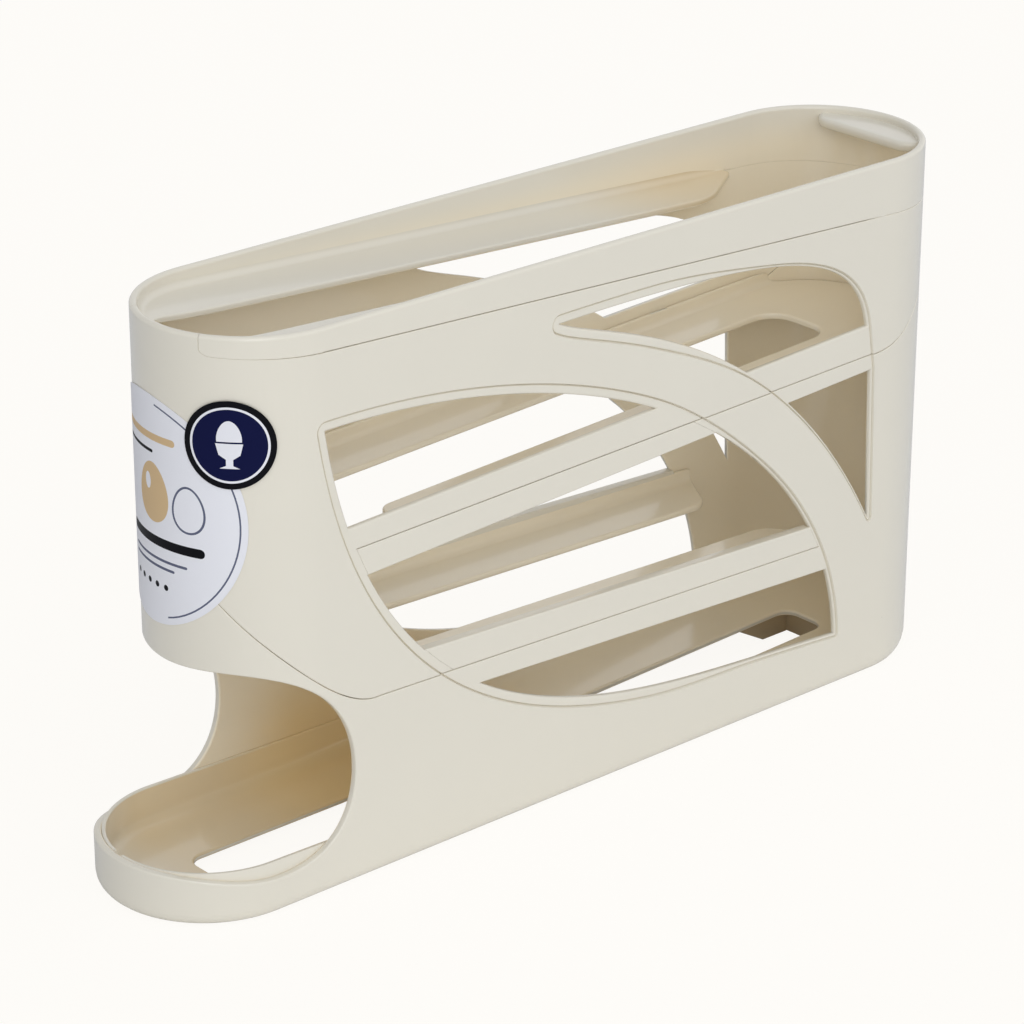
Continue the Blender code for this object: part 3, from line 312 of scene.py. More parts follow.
def front_seam():
    """The parting line from the nose down to the straight lower seam."""
    corner = (FRONT_Y, line_height(LOWER_SEAM, FRONT_Y + FRONT_SEAM_LENGTH))
    return bezier(placed(FRONT_SEAM_SHARES, corner, FRONT_SEAM_LENGTH, FRONT_SEAM_CREST), SEAM_STEPS)


def back_seam():
    """The parting line from the straight upper seam up to the back."""
    start = BACK_Y - BACK_SEAM_LENGTH
    corner = (start, line_height(UPPER_SEAM, start))
    return bezier(placed(BACK_SEAM_SHARES, corner, BACK_SEAM_LENGTH, BACK_SEAM_CREST), SEAM_STEPS)


def band_path(shift):
    """The line under the rim band from the rim at the nose to behind the body, moved up by shift.

    Only a hairline joint is left of it at the nose, and none that shows behind.
    """
    hairline = math.copysign(JOINT_HALF_GAP, shift)
    faint = math.copysign(FAINT_HALF_GAP, shift)
    start = FRONT_Y + BAND_START
    centre = (start + BAND_CORNER, line_height(BAND_LINE, start + BAND_CORNER) + BAND_CORNER)
    radius = BAND_CORNER - hairline
    turns = [math.pi / 2 * step / CORNER_STEPS for step in range(CORNER_STEPS + 1)]
    path = [(start + hairline, HEIGHT + OUTSIDE)]
    path += [(centre[0] - radius * math.cos(a), centre[1] - radius * math.sin(a)) for a in turns]
    for y, move in (
        (start + BAND_HAIRLINE, hairline), (start + BAND_OPENING, shift),
        (BAND_FADE_Y - BAND_FADE, shift), (BAND_FADE_Y, faint), (BEHIND_Y, faint),
    ):
        path.append((y, line_height(BAND_LINE, y) + move))
    return path


def raised(points, shift):
    """Points of an outline moved up."""
    return [(y, z + shift) for y, z in points]


def edge_points(curve, low, high, shift):
    """Points on a window's edge between two heights, moved back by shift."""
    heights = [low + (high - low) * step / EDGE_STEPS for step in range(EDGE_STEPS + 1)]
    return [(y_at_height(curve, z) + shift, z) for z in heights]


FRONT_SPLIT_Y = crossing(leaf_lower(), LOWER_SEAM)
BACK_SPLIT_Y = crossing(leaf_arc()[::-1], UPPER_SEAM)
SEAM_START_Y = crossing(leaf_lower(), UPPER_SEAM)
RAIL_END_Y = crossing(leaf_arc()[::-1], LOWER_SEAM)


def upper_region():
    """Side view of everything that belongs to the upper shell."""
    low = line_height(LOWER_SEAM, FRONT_SPLIT_Y) + HALF_GAP
    high = line_height(UPPER_SEAM, SEAM_START_Y) + HALF_GAP
    path = [(BEFORE_Y, front_seam()[0][1] + HALF_GAP)] + raised(front_seam(), HALF_GAP)
    path += edge_points(leaf_lower(), low, high, JOINT_HALF_GAP)
    path += raised(back_seam(), HALF_GAP) + [(BEHIND_Y, back_seam()[-1][1] + HALF_GAP)]
    return path + band_path(-HALF_GAP)[::-1] + [(BEFORE_Y, HEIGHT + OUTSIDE)]


def lower_region():
    """Side view of everything that belongs to the lower shell."""
    low = line_height(LOWER_SEAM, RAIL_END_Y) - HALF_GAP
    high = line_height(UPPER_SEAM, BACK_SPLIT_Y) - HALF_GAP
    path = [(BEFORE_Y, front_seam()[0][1] - HALF_GAP)] + raised(front_seam(), -HALF_GAP)
    path += edge_points(leaf_arc()[::-1], low, high, -JOINT_HALF_GAP)
    path += raised(back_seam(), -HALF_GAP) + [(BEHIND_Y, back_seam()[-1][1] - HALF_GAP)]
    return path + [(BEHIND_Y, -OUTSIDE), (BEFORE_Y, -OUTSIDE)]


def flange_outline(foot, seam, seam_ends, side):
    """Side view of a track's flange in the leaf window, between its free edge and one side of a seam."""
    front = crossing(leaf_lower(), foot)
    back = crossing(leaf_arc()[::-1], foot)
    seam_front, seam_back = (line_height(seam, y) + side * HALF_GAP for y in seam_ends)
    path = edge_points(leaf_lower(), line_height(foot, front), seam_front, 3 * JOINT_HALF_GAP)
    return path + edge_points(leaf_arc()[::-1], seam_back, line_height(foot, back), -3 * JOINT_HALF_GAP)


def exit_outline():
    """Side view of the open exit, from in front of the nose round the opening to the lip."""
    reach = (FRONT_Y - EXIT_BACK_Y) / EXIT_HEAD_SHARES[0][0]
    head = placed(EXIT_HEAD_SHARES, (EXIT_BACK_Y, EXIT_WAIST), reach, EXIT_HEAD - EXIT_WAIST)
    lip = placed(EXIT_LIP_SHARES, (EXIT_BACK_Y, EXIT_LIP), TRAY_Y - EXIT_BACK_Y, EXIT_WAIST - EXIT_LIP)
    start = [(BEFORE_Y, EXIT_LIP), (BEFORE_Y, EXIT_HEAD)]
    return start + bezier(head, EXIT_STEPS) + bezier(lip, EXIT_STEPS)[1:]


# The wall laid flat: round ends become straight runs, so y becomes a place along the wall

def turn_centres(z):
    """Where the front end's rounding starts: in the tray below the exit's waist, in the body above it."""
    return np.where(np.asarray(z) < EXIT_WAIST, TRAY_TURN_Y, BODY_TURN_Y)


def laid(y, z):
    """Place along the flat wall of a side-view point."""
    y = np.asarray(y, float)
    front = turn_centres(z)
    ahead = (front - y) / HALF_WIDTH
    behind = (y - BACK_TURN_Y) / HALF_WIDTH
    swing_ahead = np.arcsin(np.clip(ahead, 0, 1)) + np.maximum(ahead - 1, 0)
    swing_behind = np.arcsin(np.clip(behind, 0, 1)) + np.maximum(behind - 1, 0)
    flat = np.clip(y, front, BACK_TURN_Y)
    return flat - HALF_WIDTH * swing_ahead + HALF_WIDTH * swing_behind


def stood(t, z):
    """Side-view y of a place along the flat wall."""
    t = np.asarray(t, float)
    front = turn_centres(z)
    quarter = math.pi / 2
    ahead = np.maximum(front - t, 0) / HALF_WIDTH
    behind = np.maximum(t - BACK_TURN_Y, 0) / HALF_WIDTH
    reach_ahead = np.sin(np.minimum(ahead, quarter)) + np.maximum(ahead - quarter, 0)
    reach_behind = np.sin(np.minimum(behind, quarter)) + np.maximum(behind - quarter, 0)
    return np.clip(t, front, BACK_TURN_Y) - HALF_WIDTH * reach_ahead + HALF_WIDTH * reach_behind


def unrolled(curve, closed=False):
    """A side-view curve on the flat wall, with points close together where the wall is round."""
    points = [tuple(p) for p in curve]
    if closed:
        points.append(points[0])
    result = []
    for (y0, z0), (y1, z1) in zip(points, points[1:]):
        t0, t1 = float(laid(y0, z0)), float(laid(y1, z1))
        round_end = min(y0, y1) < BODY_TURN_Y or max(y0, y1) > BACK_TURN_Y
        count = max(1, math.ceil(max(abs(t1 - t0), abs(z1 - z0)) / CURVE_STEP)) if round_end else 1
        shares = np.arange(count) / count
        if abs(y1 - y0) > 1e-9 and count > 1:
            t = t0 + (t1 - t0) * shares
            z = z0 + (z1 - z0) * (stood(t, z0) - y0) / (y1 - y0)
        else:
            z = z0 + (z1 - z0) * shares
            t = laid(y0 + (y1 - y0) * shares, z)
        result += list(zip(t, z))
    result.append((float(laid(*points[-1])), points[-1][1]))
    return np.array(result)


# Flat arrangements of curves

def parallel(curve, distance):
    """A curve moved left by a distance, or one for each point, with arcs round its outer corners."""
    points = np.asarray(curve, float)
    distances = np.broadcast_to(distance, len(points))
    closed = np.allclose(points[0], points[-1])
    if closed:
        points = points[:-1]
    count = len(points)
    result = []
    for index, here in enumerate(points):
        distance = distances[index]
        along = []
        if closed or index > 0:
            along.append(here - points[index - 1])
        if closed or index < count - 1:
            along.append(points[(index + 1) % count] - here)
        along = [step / max(np.linalg.norm(step), 1e-12) for step in along]
        normals = [np.array((-step[1], step[0])) for step in along]
        first, last = normals[0], normals[-1]
        turn = math.atan2(first[0] * last[1] - first[1] * last[0], float(first @ last))
        if turn * distance < 0 and abs(turn) > OUTER_ARC_TURN:
            steps = max(2, math.ceil(abs(turn) / OUTER_ARC_TURN))
            base = math.atan2(first[1], first[0])
            angles = [base + turn * step / steps for step in range(steps + 1)]
            result += [here + distance * np.array((math.cos(a), math.sin(a))) for a in angles]
        else:
            middle = first + last
            stretch = min(2 / max(float(middle @ middle), 1e-9), MITRE_LIMIT)
            result.append(here + middle * distance * stretch)
    if closed:
        result.append(result[0])
    return np.array(result)


def closed_curve(outline):
    """An outline whose last point repeats the first."""
    return np.array([tuple(p) for p in outline] + [tuple(outline[0])])


def left_is_outside(curve):
    """Whether the left of a closed curve is its outside."""
    points = np.asarray(curve)
    x, y = points[:-1].T
    return float(np.sum(x * points[1:, 1] - points[1:, 0] * y)) < 0


def rings(curve, radius, inside=False):
    """A closed curve with the lines that its rounded edge needs, outside it or inside."""
    side = 1 if left_is_outside(curve) != inside else -1
    reaches = [share * radius for share in RING_SHARES] + [radius + RING_GUARD]
    return [np.asarray(curve)] + [parallel(curve, side * reach) for reach in reaches]


def ribbons(curve, radius):
    """An open curve with the lines that its rounded edges need on both sides."""
    reaches = [share * radius for share in RING_SHARES] + [radius + RING_GUARD]
    return [np.asarray(curve)] + [parallel(curve, side * reach) for side in (1, -1) for reach in reaches]


def inside(points, outline):
    """Which points lie in a closed outline."""
    x, y = points[:, 0], points[:, 1]
    result = np.zeros(len(points), bool)
    outline = np.asarray(outline)
    for (x0, y0), (x1, y1) in zip(outline, np.roll(outline, -1, 0)):
        if y0 != y1:
            result ^= ((y0 > y) != (y1 > y)) & (x < (x1 - x0) * (y - y0) / (y1 - y0) + x0)
    return result


def reach_to(points, starts, ends, limit):
    """Distance of each point from the nearest of many short lines, up to a limit."""
    nearest = np.full(len(points), float(limit))
    cells = {}
    for index, cell in enumerate(np.floor((starts + ends) / 2 / SEARCH_CELL).astype(int)):
        cells.setdefault(tuple(cell), []).append(index)
    for members in cells.values():
        a, b = starts[members], ends[members]
        low = np.minimum(a, b).min(0) - limit
        high = np.maximum(a, b).max(0) + limit
        near = np.nonzero(((points > low) & (points < high)).all(1))[0]
        if len(near) == 0:
            continue
        along = b - a
        offset = points[near][:, None] - a
        share = np.clip((offset * along).sum(2) / np.maximum((along**2).sum(1), 1e-18), 0, 1)
        gap = np.linalg.norm(offset - share[..., None] * along, axis=2).min(1)
        nearest[near] = np.minimum(nearest[near], gap)
    return nearest


def edge_fall(distance, radius):
    """How far a face has fallen away at a distance from its rounded edge."""
    if radius == 0:
        return np.zeros(len(distance))
    rest = np.clip(radius - distance, 0, radius)
    return radius - np.sqrt(radius**2 - rest**2)


def arranged(curves):
    """Points and triangles of a flat net that follows every curve."""
    points, edges = [], []
    for curve in curves:
        start = len(points)
        points += [Vector((float(u), float(v))) for u, v in curve]
        edges += [(start + i, start + i + 1) for i in range(len(curve) - 1)]
    net = delaunay_2d_cdt(points, edges, [], 0, SAME_POINT)
    return np.array([tuple(p) for p in net[0]]), np.array([tuple(t) for t in net[2]])


def moulding(curves, keep, outer, inner, rounds, mirror=False, paint=None, both=True, top_skin=0, skin=0):
    """Closed shell of a flat net.

    keep says which places belong to the piece. outer and inner place its two faces, given the places
    and how far their edges have fallen away. rounds gives the two edge radii at places on the edge,
    below zero where the mirrored half goes on. paint gives each place a material number, for print or
    for painted shade, on both faces or on the outer one. Returns points, faces and each face's material
    number.
    """
    points, triangles = arranged(curves)
    triangles = triangles[keep(points[triangles].mean(1))]
    used = np.unique(triangles)
    renumber = np.full(len(points), -1)
    renumber[used] = np.arange(len(used))
    points, triangles = points[used], renumber[triangles]
    colours = paint(points[triangles].mean(1)) if paint else np.zeros(len(triangles), int)
    under = colours if paint and both else np.full(len(triangles), skin)

    corners = np.concatenate([triangles[:, [0, 1]], triangles[:, [1, 2]], triangles[:, [2, 0]]])
    ways = {tuple(edge) for edge in corners}
    border = np.array([edge for edge in ways if (edge[1], edge[0]) not in ways])
    radii = rounds(points[border].mean(1))
    shared = np.unique(border[radii[:, 0] < 0])
    border, radii = border[radii[:, 0] >= 0], radii[radii[:, 0] >= 0]
    falls = [np.zeros(len(points)), np.zeros(len(points))]
    for pair in {tuple(pair) for pair in radii}:
        chosen = border[(radii == pair).all(1)]
        for face in (0, 1):
            if pair[face] > 0:
                distance = reach_to(points, points[chosen[:, 0]], points[chosen[:, 1]], pair[face])
                falls[face] = np.maximum(falls[face], edge_fall(distance, pair[face]))

    count = len(points)
    places = np.concatenate([outer(points, falls[0]), inner(points, falls[1])])
    faces = triangles.tolist() + (triangles[:, ::-1] + count).tolist()
    faces += [[j, i, i + count, j + count] for i, j in border.tolist()]
    colours = (colours + top_skin).tolist() + under.tolist() + [top_skin] * len(border)
    if mirror:
        total = len(places)
        match = np.arange(total) + total
        centred = np.concatenate([shared, shared + count])
        places[centred, 0] = 0
        match[centred] = centred
        solid = [not (match[face] == face).all() for face in faces]
        faces = [face for face, kept in zip(faces, solid) if kept]
        colours = [colour for colour, kept in zip(colours, solid) if kept]
        faces += [match[face[::-1]].tolist() for face in faces]
        colours += colours
        places = np.concatenate([places, places * (-1, 1, 1)])
    return places, faces, colours


def piece(name, body, node, materials, shells):
    """A piece made of closed shells, which stands for a node of the frame."""
    work = bmesh.new()
    for places, faces, colours in shells:
        corners = [work.verts.new(place) for place in places]
        for face, colour in zip(faces, colours):
            if len(set(face)) == len(face):
                made = work.faces.new([corners[i] for i in face])
                made.material_index = colour
                made.smooth = True
    loose = [corner for corner in work.verts if not corner.link_faces]
    bmesh.ops.delete(work, geom=loose, context="VERTS")
    bmesh.ops.recalc_face_normals(work, faces=work.faces)
    mesh = bpy.data.meshes.new(name)
    work.to_mesh(mesh)
    work.free()
    for material in materials:
        mesh.materials.append(material)
    mesh.set_sharp_from_angle(angle=SHARP_ANGLE)
    thing = bpy.data.objects.new(name, mesh)
    bpy.context.scene.collection.objects.link(thing)
    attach(thing, body)
    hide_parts(node)


# Walls

LEAF = unrolled(leaf_outline())
WINDOW = unrolled(upper_outline())
EXIT = unrolled(exit_outline(), closed=True)
TRAY_NOSE = TRAY_TURN_Y - HALF_WIDTH * math.pi / 2
BODY_NOSE = BODY_TURN_Y - HALF_WIDTH * math.pi / 2
BACK_END = BACK_TURN_Y + HALF_WIDTH * math.pi / 2
FOOT_TURN_ROW = 0.0009
FOOT_FLAT_ROW = 0.0016
FOOT_SLOPE_ROW = 0.0036
FOOT_TOP_ROW = 0.0128
FOOT_ROWS = (
    0, 0.00015, 0.0005, FOOT_TURN_ROW, FOOT_FLAT_ROW, 0.0025,
    FOOT_SLOPE_ROW, 0.005, 0.007, 0.0095, 0.012, FOOT_TOP_ROW,
)
COLUMN_SPARE = 0.0020
TRAY_COLUMN_TOP = EXIT_LIP + COLUMN_SPARE
BODY_COLUMN_FOOT = 0.066


def fillet_at(t):
    """Radius of the bottom edge, which grows towards the back."""
    swing = np.clip((t - BACK_TURN_Y) / HALF_WIDTH, 0, math.pi / 2)
    return BASE_FILLET + (BACK_FILLET - BASE_FILLET) * np.sin(swing) ** 2


def border_width(points):
    """Width of the border bands, which are wide in front and narrow behind."""
    share = np.clip((points[:, 0] - NARROWING[0]) / (NARROWING[1] - NARROWING[0]), 0, 1)
    return BORDER_WIDTH + (BORDER_NARROW - BORDER_WIDTH) * share * share * (3 - 2 * share)


def sunk(points):
    """How deep the border bands and the rails lie in the outer face."""
    limit = BORDER_WIDTH + BORDER_SLOPE
    nearest = np.full(len(points), limit)
    for outline in (LEAF, WINDOW):
        distance = reach_to(points, outline[:-1], outline[1:], limit)
        nearest = np.minimum(nearest, np.where(inside(points, outline), 0, distance))
    width = border_width(points)
    share = np.clip((width + BORDER_SLOPE - nearest) / (2 * BORDER_SLOPE), 0, 1)
    groove = np.clip(1 - np.abs(nearest - width + GROOVE_INSET) / GROOVE_HALF, 0, 1)
    band = BORDER_DEPTH * share * share * (3 - 2 * share)
    return band + GROOVE_DEPTH * groove * groove * (3 - 2 * groove)


def stand(points, depth, height):
    """Points of the flat wall in space, at a depth below the outline and at a height."""
    t, z = points.T
    front = turn_centres(z)
    ahead = np.clip((front - t) / HALF_WIDTH, 0, math.pi / 2)
    behind = np.clip((t - BACK_TURN_Y) / HALF_WIDTH, 0, math.pi / 2)
    radius = HALF_WIDTH - depth
    x = radius * np.cos(ahead + behind)
    y = np.clip(t, front, BACK_TURN_Y) - radius * np.sin(ahead) + radius * np.sin(behind)
    return np.stack([x, y, height], 1)


def outer_face(points, fall):
    """The housing's outer face."""
    t, z = points.T
    fillet = fillet_at(t)
    rest = np.clip(fillet - z, 0, fillet)
    depth = fillet - np.sqrt(fillet**2 - rest**2)
    return stand(points, depth + sunk(points) + fall, z)


def inner_face(points, fall):
    """The housing's inner face, with the flange at its foot."""
    t, z = points.T
    fillet = fillet_at(t)
    chamfer = FLANGE_CHAMFER + fillet - BASE_FILLET
    foot = fillet + FOOT_WIDTH
    turning = np.interp(z, (FOOT_TURN_ROW, FOOT_FLAT_ROW), (1, 0)) * (foot - WALL - chamfer)
    share = np.clip((z - FOOT_FLAT_ROW) / (FOOT_SLOPE_ROW - FOOT_FLAT_ROW), 0, 1)
    above = np.clip((z - FOOT_SLOPE_ROW) / (FOOT_TOP_ROW - FOOT_SLOPE_ROW), 0, 1)
    depth = np.where(z < FOOT_TURN_ROW, foot, turning + WALL + chamfer)
    depth = np.where(z > FOOT_FLAT_ROW, WALL + chamfer * (1 - share), depth)
    height = np.where(z < FOOT_TURN_ROW, z * BASE_FLANGE / FOOT_TURN_ROW, BASE_FLANGE)
    height = np.where(z > FOOT_FLAT_ROW, BASE_FLANGE + chamfer * share, height)
    rising = (BASE_FLANGE + chamfer) * (1 - above) + FOOT_TOP_ROW * above
    height = np.where(z > FOOT_SLOPE_ROW, rising, height)
    height = np.where(z > FOOT_TOP_ROW, z, height)
    return stand(points, depth - fall, height)


def in_wall(points):
    """Which places of the flat wall hold material, before it is parted."""
    t, z = points.T
    nose = np.where(z < EXIT_WAIST, TRAY_NOSE, BODY_NOSE)
    result = (t > nose) & (t < BACK_END) & (z > 0) & (z < HEIGHT) & ~inside(points, EXIT)
    upper_rail = (z < line_height(UPPER_RAIL_TOP, t)) & (z > line_height(UPPER_RAIL_FOOT, t))
    lower_rail = (z < line_height(LOWER_RAIL_TOP, t)) & (z > line_height(LOWER_RAIL_FOOT, t))
    open_place = (inside(points, LEAF) | inside(points, WINDOW)) & ~upper_rail
    return result & ~(open_place & ~(lower_rail & (t < LOWER_RAIL_END_Y)))


def column_lines():
    """Upright lines on the round ends, from the flat sides to the nose and the back."""
    lines = []
    for step in range(TURN_STEPS + 1):
        swing = HALF_WIDTH * math.pi / 2 * step / TURN_STEPS
        lines.append(((TRAY_TURN_Y - swing, 0), (TRAY_TURN_Y - swing, TRAY_COLUMN_TOP)))
        lines.append(((BODY_TURN_Y - swing, BODY_COLUMN_FOOT), (BODY_TURN_Y - swing, HEIGHT)))
        lines.append(((BACK_TURN_Y + swing, 0), (BACK_TURN_Y + swing, HEIGHT)))
    return lines


def rail_lines():
    """The edges of both rails."""
    upper_end = UPPER_FRONT_Y + UPPER_LENGTH
    lines = []
    for line, end in (
        (UPPER_RAIL_TOP, upper_end), (UPPER_RAIL_FOOT, upper_end),
        (LOWER_RAIL_TOP, LEAF_BACK_Y), (LOWER_RAIL_FOOT, LEAF_BACK_Y),
    ):
        ends = [(y, line_height(line, y)) for y in (LEAF_FRONT_Y - BORDER_WIDTH, end + BORDER_WIDTH)]
        lines += ribbons(ends, RAIL_ROUND[0])
    return lines


def window_lines():
    """The edges of both windows and the steps of their borders."""
    lines = []
    for outline in (LEAF, WINDOW):
        side = 1 if left_is_outside(outline) else -1
        lines += rings(outline, WINDOW_ROUND[0])
        width = border_width(outline)
        lines += [parallel(outline, side * (width + offset)) for offset in BORDER_RINGS]
    return lines


def level(z):
    """A level line along the whole wall."""
    return ((TRAY_NOSE, z), (BACK_END, z))


def rim_lines():
    """The lines of the rounded rim."""
    lines = [level(HEIGHT - share * RIM_ROUND[0]) for share in RIM_SHARES]
    return [level(HEIGHT)] + lines + [level(HEIGHT - RIM_ROUND[0] - RING_GUARD)]


def wall_rounds(seam):
    """Edge radii by place: rim, foot, seam, exit and windows."""
    def radii(middles):
        t, z = middles.T
        result = np.tile(WINDOW_ROUND, (len(middles), 1))
        for line in (UPPER_RAIL_TOP, UPPER_RAIL_FOOT, LOWER_RAIL_TOP, LOWER_RAIL_FOOT):
            result[np.abs(z - line_height(line, t)) < NEAR_EDGE] = RAIL_ROUND
        near_exit = reach_to(middles, EXIT[:-1], EXIT[1:], 2 * NEAR_EDGE) < NEAR_EDGE
        result[near_exit] = EXIT_ROUND
        near_seam = reach_to(middles, seam[:-1], seam[1:], 2 * NEAR_EDGE) < NEAR_EDGE
        result[near_seam] = SEAM_ROUND
        near_leaf = reach_to(middles, LEAF[:-1], LEAF[1:], NEAR_LEAF) < JOINT_HALF_GAP + NEAR_EDGE
        result[near_seam & near_leaf] = JOINT_ROUND
        result[near_seam & (t < BODY_TURN_Y) & (z > ABOVE_SEAMS)] = JOINT_ROUND
        result[near_seam & (t > BAND_FADE_Y) & (z > ABOVE_SEAMS)] = 0
        result[z > HEIGHT - NEAR_EDGE] = RIM_ROUND
        result[z < NEAR_EDGE] = 0
        nose = np.where(z < EXIT_WAIST, TRAY_NOSE, BODY_NOSE)
        result[(np.abs(t - nose) < NEAR_EDGE) | (np.abs(t - BACK_END) < NEAR_EDGE)] = -1
        return result

    return radii


def wall_part(region, lines):
    """The share of the wall inside a region, as one closed shell."""
    region = unrolled(region, closed=True)
    curves = list(lines) + column_lines() + ribbons(region, SEAM_ROUND[0])

    def keep(middles):
        return in_wall(middles) & inside(middles, region)

    # The inner face takes the copy of the plastic with painted light and shade inside the housing
    return moulding(curves, keep, outer_face, inner_face, wall_rounds(region), mirror=True, skin=INSIDE)


# Slabs, such as ribs and flanges

def slab(outline, place, skin=0):
    """A flat slab with rounded edges. place puts its two faces in space: place(points, face, fall)."""
    closed = closed_curve(outline)
    return moulding(
        rings(closed, SMALL_ROUND[0], inside=True),
        lambda middles: inside(middles, closed),
        lambda points, fall: place(points, 0, fall),
        lambda points, fall: place(points, 1, fall),
        lambda middles: np.tile(SMALL_ROUND, (len(middles), 1)), top_skin=skin, skin=skin,
    )


def across(x_outer, x_inner):
    """Places a side-view slab between two x."""
    way = 1 if x_outer > x_inner else -1

    def place(points, face, fall):
        x = (x_outer - way * fall) if face == 0 else (x_inner + way * fall)
        return np.stack([np.broadcast_to(x, len(points)), points[:, 0], points[:, 1]], 1)

    return place


def along(y_front, y_back):
    """Places a front-view slab between two y."""
    def place(points, face, fall):
        y = (y_front + fall) if face == 0 else (y_back - fall)
        return np.stack([points[:, 0], np.broadcast_to(y, len(points)), points[:, 1]], 1)

    return place


# Plans of the tracks, as (x, y)

def rounded(corners, steps=10):
    """A polygon of (x, y, radius) corners as points, with each corner rounded."""
    result = []
    for index, (x, y, radius) in enumerate(corners):
        here = Vector((x, y))
        before = (Vector(corners[index - 1][:2]) - here).normalized()
        after = (Vector(corners[(index + 1) % len(corners)][:2]) - here).normalized()
        half = before.angle(after) / 2
        centre = here + (before + after).normalized() * (radius / math.sin(half))
        start = here + before * (radius / math.tan(half)) - centre
        end = here + after * (radius / math.tan(half)) - centre
        turn = start.angle_signed(end)
        for step in range(steps + 1):
            angle = -turn * step / steps
            sine = math.sin(angle)
            cosine = math.cos(angle)
            x = centre.x + start.x * cosine - start.y * sine
            y = centre.y + start.x * sine + start.y * cosine
            if not result or math.dist((x, y), result[-1]) > CLOSE_POINT:
                result.append((x, y))
    if math.dist(result[0], result[-1]) < CLOSE_POINT:
        result.pop()
    return result


def both_halves(half):
    """A plan with its other half across the middle plane."""
    mirrored = [(-x, y, radius) for x, y, radius in half[::-1]]
    return rounded(half + mirrored, TURN_STEPS // 2)


def stadium_inset(points, front, back, radius):
    """How far points of a plan lie inside a long rounded outline."""
    x, y = points.T
    return radius - np.hypot(x, y - np.clip(y, front, back))


def stadium_line(radius, front, back):
    """Half of a long rounded outline, from the nose over +x to the back."""
    turns = [math.pi / 2 * step / TURN_STEPS for step in range(TURN_STEPS + 1)]
    nose = [(radius * math.sin(a), front - radius * math.cos(a)) for a in turns]
    tail = [(radius * math.cos(a), back + radius * math.sin(a)) for a in turns]
    return np.round(nose + tail, 9)


def upstand_lift(inset, wall, rise, cove_high, cove_wide, corner):
    """Height over the floor at an inset from the outer side: a low wall with a cove at its foot."""
    face = wall + UPSTAND_DRAFT
    top = rise - edge_fall(np.maximum(wall - inset, 0), corner)
    share = np.clip((inset - wall) / UPSTAND_DRAFT, 0, 1)
    draft = (rise - corner) * (1 - share) + cove_high * share
    swing = np.clip(1 - (inset - face) / cove_wide, 0, 1)
    cove = cove_high * (1 - np.sqrt(1 - swing**2))
    return np.where(inset <= wall, top, np.where(inset < face, draft, cove))


def upstand_insets(wall, cove_wide, corner):
    """The insets at which an upstand and its cove need lines."""
    turns = [math.pi / 2 * step / COVE_STEPS for step in range(COVE_STEPS + 1)]
    insets = [wall - share * corner for share in (1, 0.5, 0.134, 0)]
    return insets + [wall + UPSTAND_DRAFT + cove_wide * (1 - math.cos(turn)) for turn in turns]


# Shells

BEAD_FRONT_SHARE = 0.2657
BEAD_BACK_SHARE = 0.2486
BEAD_HALF = 0.0040
BEAD_HALF_HEIGHT = 0.0005
BEAD_RISE = 0.0026
BEAD_REACH = 0.0013
WALL_ROOT = 0.0007
GUSSET_FRONT_SHARE = 0.1943
GUSSET_REACH = 0.0040
GUSSET_HEIGHT = 0.0110
GUSSET_HALF = 0.0012
BACK_RIB_X = 0.0200
BACK_RIB_REACH = 0.0070


def foot_lines():
    """Level lines of the foot."""
    return [level(z) for z in FOOT_ROWS]


def bead_places():
    """The y of each snap bead."""
    return FRONT_Y + BEAD_FRONT_SHARE * LENGTH, BACK_Y - BEAD_BACK_SHARE * LENGTH


def box_outline(low, high):
    """A rectangle from its lowest to its highest corner."""
    return [low, (high[0], low[1]), high, (low[0], high[1])]


def beads():
    """The snap beads inside the upper rail."""
    shells = []
    for y in bead_places():
        middle = line_height(SECOND_TRACK, y) + BEAD_RISE
        low = (y - BEAD_HALF, middle - BEAD_HALF_HEIGHT)
        high = (y + BEAD_HALF, middle + BEAD_HALF_HEIGHT)
        for side in (1, -1):
            place = across(side * (INNER_HALF - BEAD_REACH), side * (INNER_HALF + WALL_ROOT))
            shells.append(slab(box_outline(low, high), place))
    return shells


def front_ribs():
    """The gussets under the front of the third track."""
    y = FRONT_Y + GUSSET_FRONT_SHARE * LENGTH
    top = line_height(THIRD_TRACK, y) - TRACK_FLOOR - TRACK_CROSS_FALL / 4 - GAP
    outer = INNER_HALF + WALL / 4
    inner = INNER_HALF - GUSSET_REACH
    shells = []
    for side in (1, -1):
        outline = [(side * outer, top - GAP), (side * inner, top), (side * outer, top - GUSSET_HEIGHT)]
        shells.append(slab(outline, along(y - GUSSET_HALF, y + GUSSET_HALF)))
    return shells


def back_ribs():
    """The gussets inside the back, on which the second track's end rests."""
    shells = []
    for side in (1, -1):
        x = side * BACK_RIB_X
        wall_y = BACK_TURN_Y + math.sqrt(INNER_HALF**2 - x**2)
        tip = wall_y - BACK_RIB_REACH
        root = wall_y + WALL_ROOT
        top = line_height(SECOND_TRACK, tip) - TRACK_FLOOR - TRACK_CROSS_FALL - GAP
        outline = [(tip, top), (root, top), (root, top - GUSSET_HEIGHT)]
        shells.append(slab(outline, across(x + GUSSET_HALF, x - GUSSET_HALF)))
    return shells


def lower_shell(cream):
    """The lower shell: lower walls, exit, tray lip, and the gussets that carry tracks."""
    lines = foot_lines() + rail_lines() + window_lines() + rings(EXIT, EXIT_ROUND[0])
    shells = [wall_part(lower_region(), lines)] + front_ribs() + back_ribs()
    piece("lower_shell_moulding", "lower", "lower_shell", cream, shells)


def upper_shell(cream):
    """The upper shell with its snap beads."""
    lines = rim_lines() + rail_lines() + window_lines() + rings(EXIT, EXIT_ROUND[0])
    shells = [wall_part(upper_region(), lines)] + beads()
    piece("upper_shell_moulding", "upper", "upper_shell", cream, shells)


# Tracks

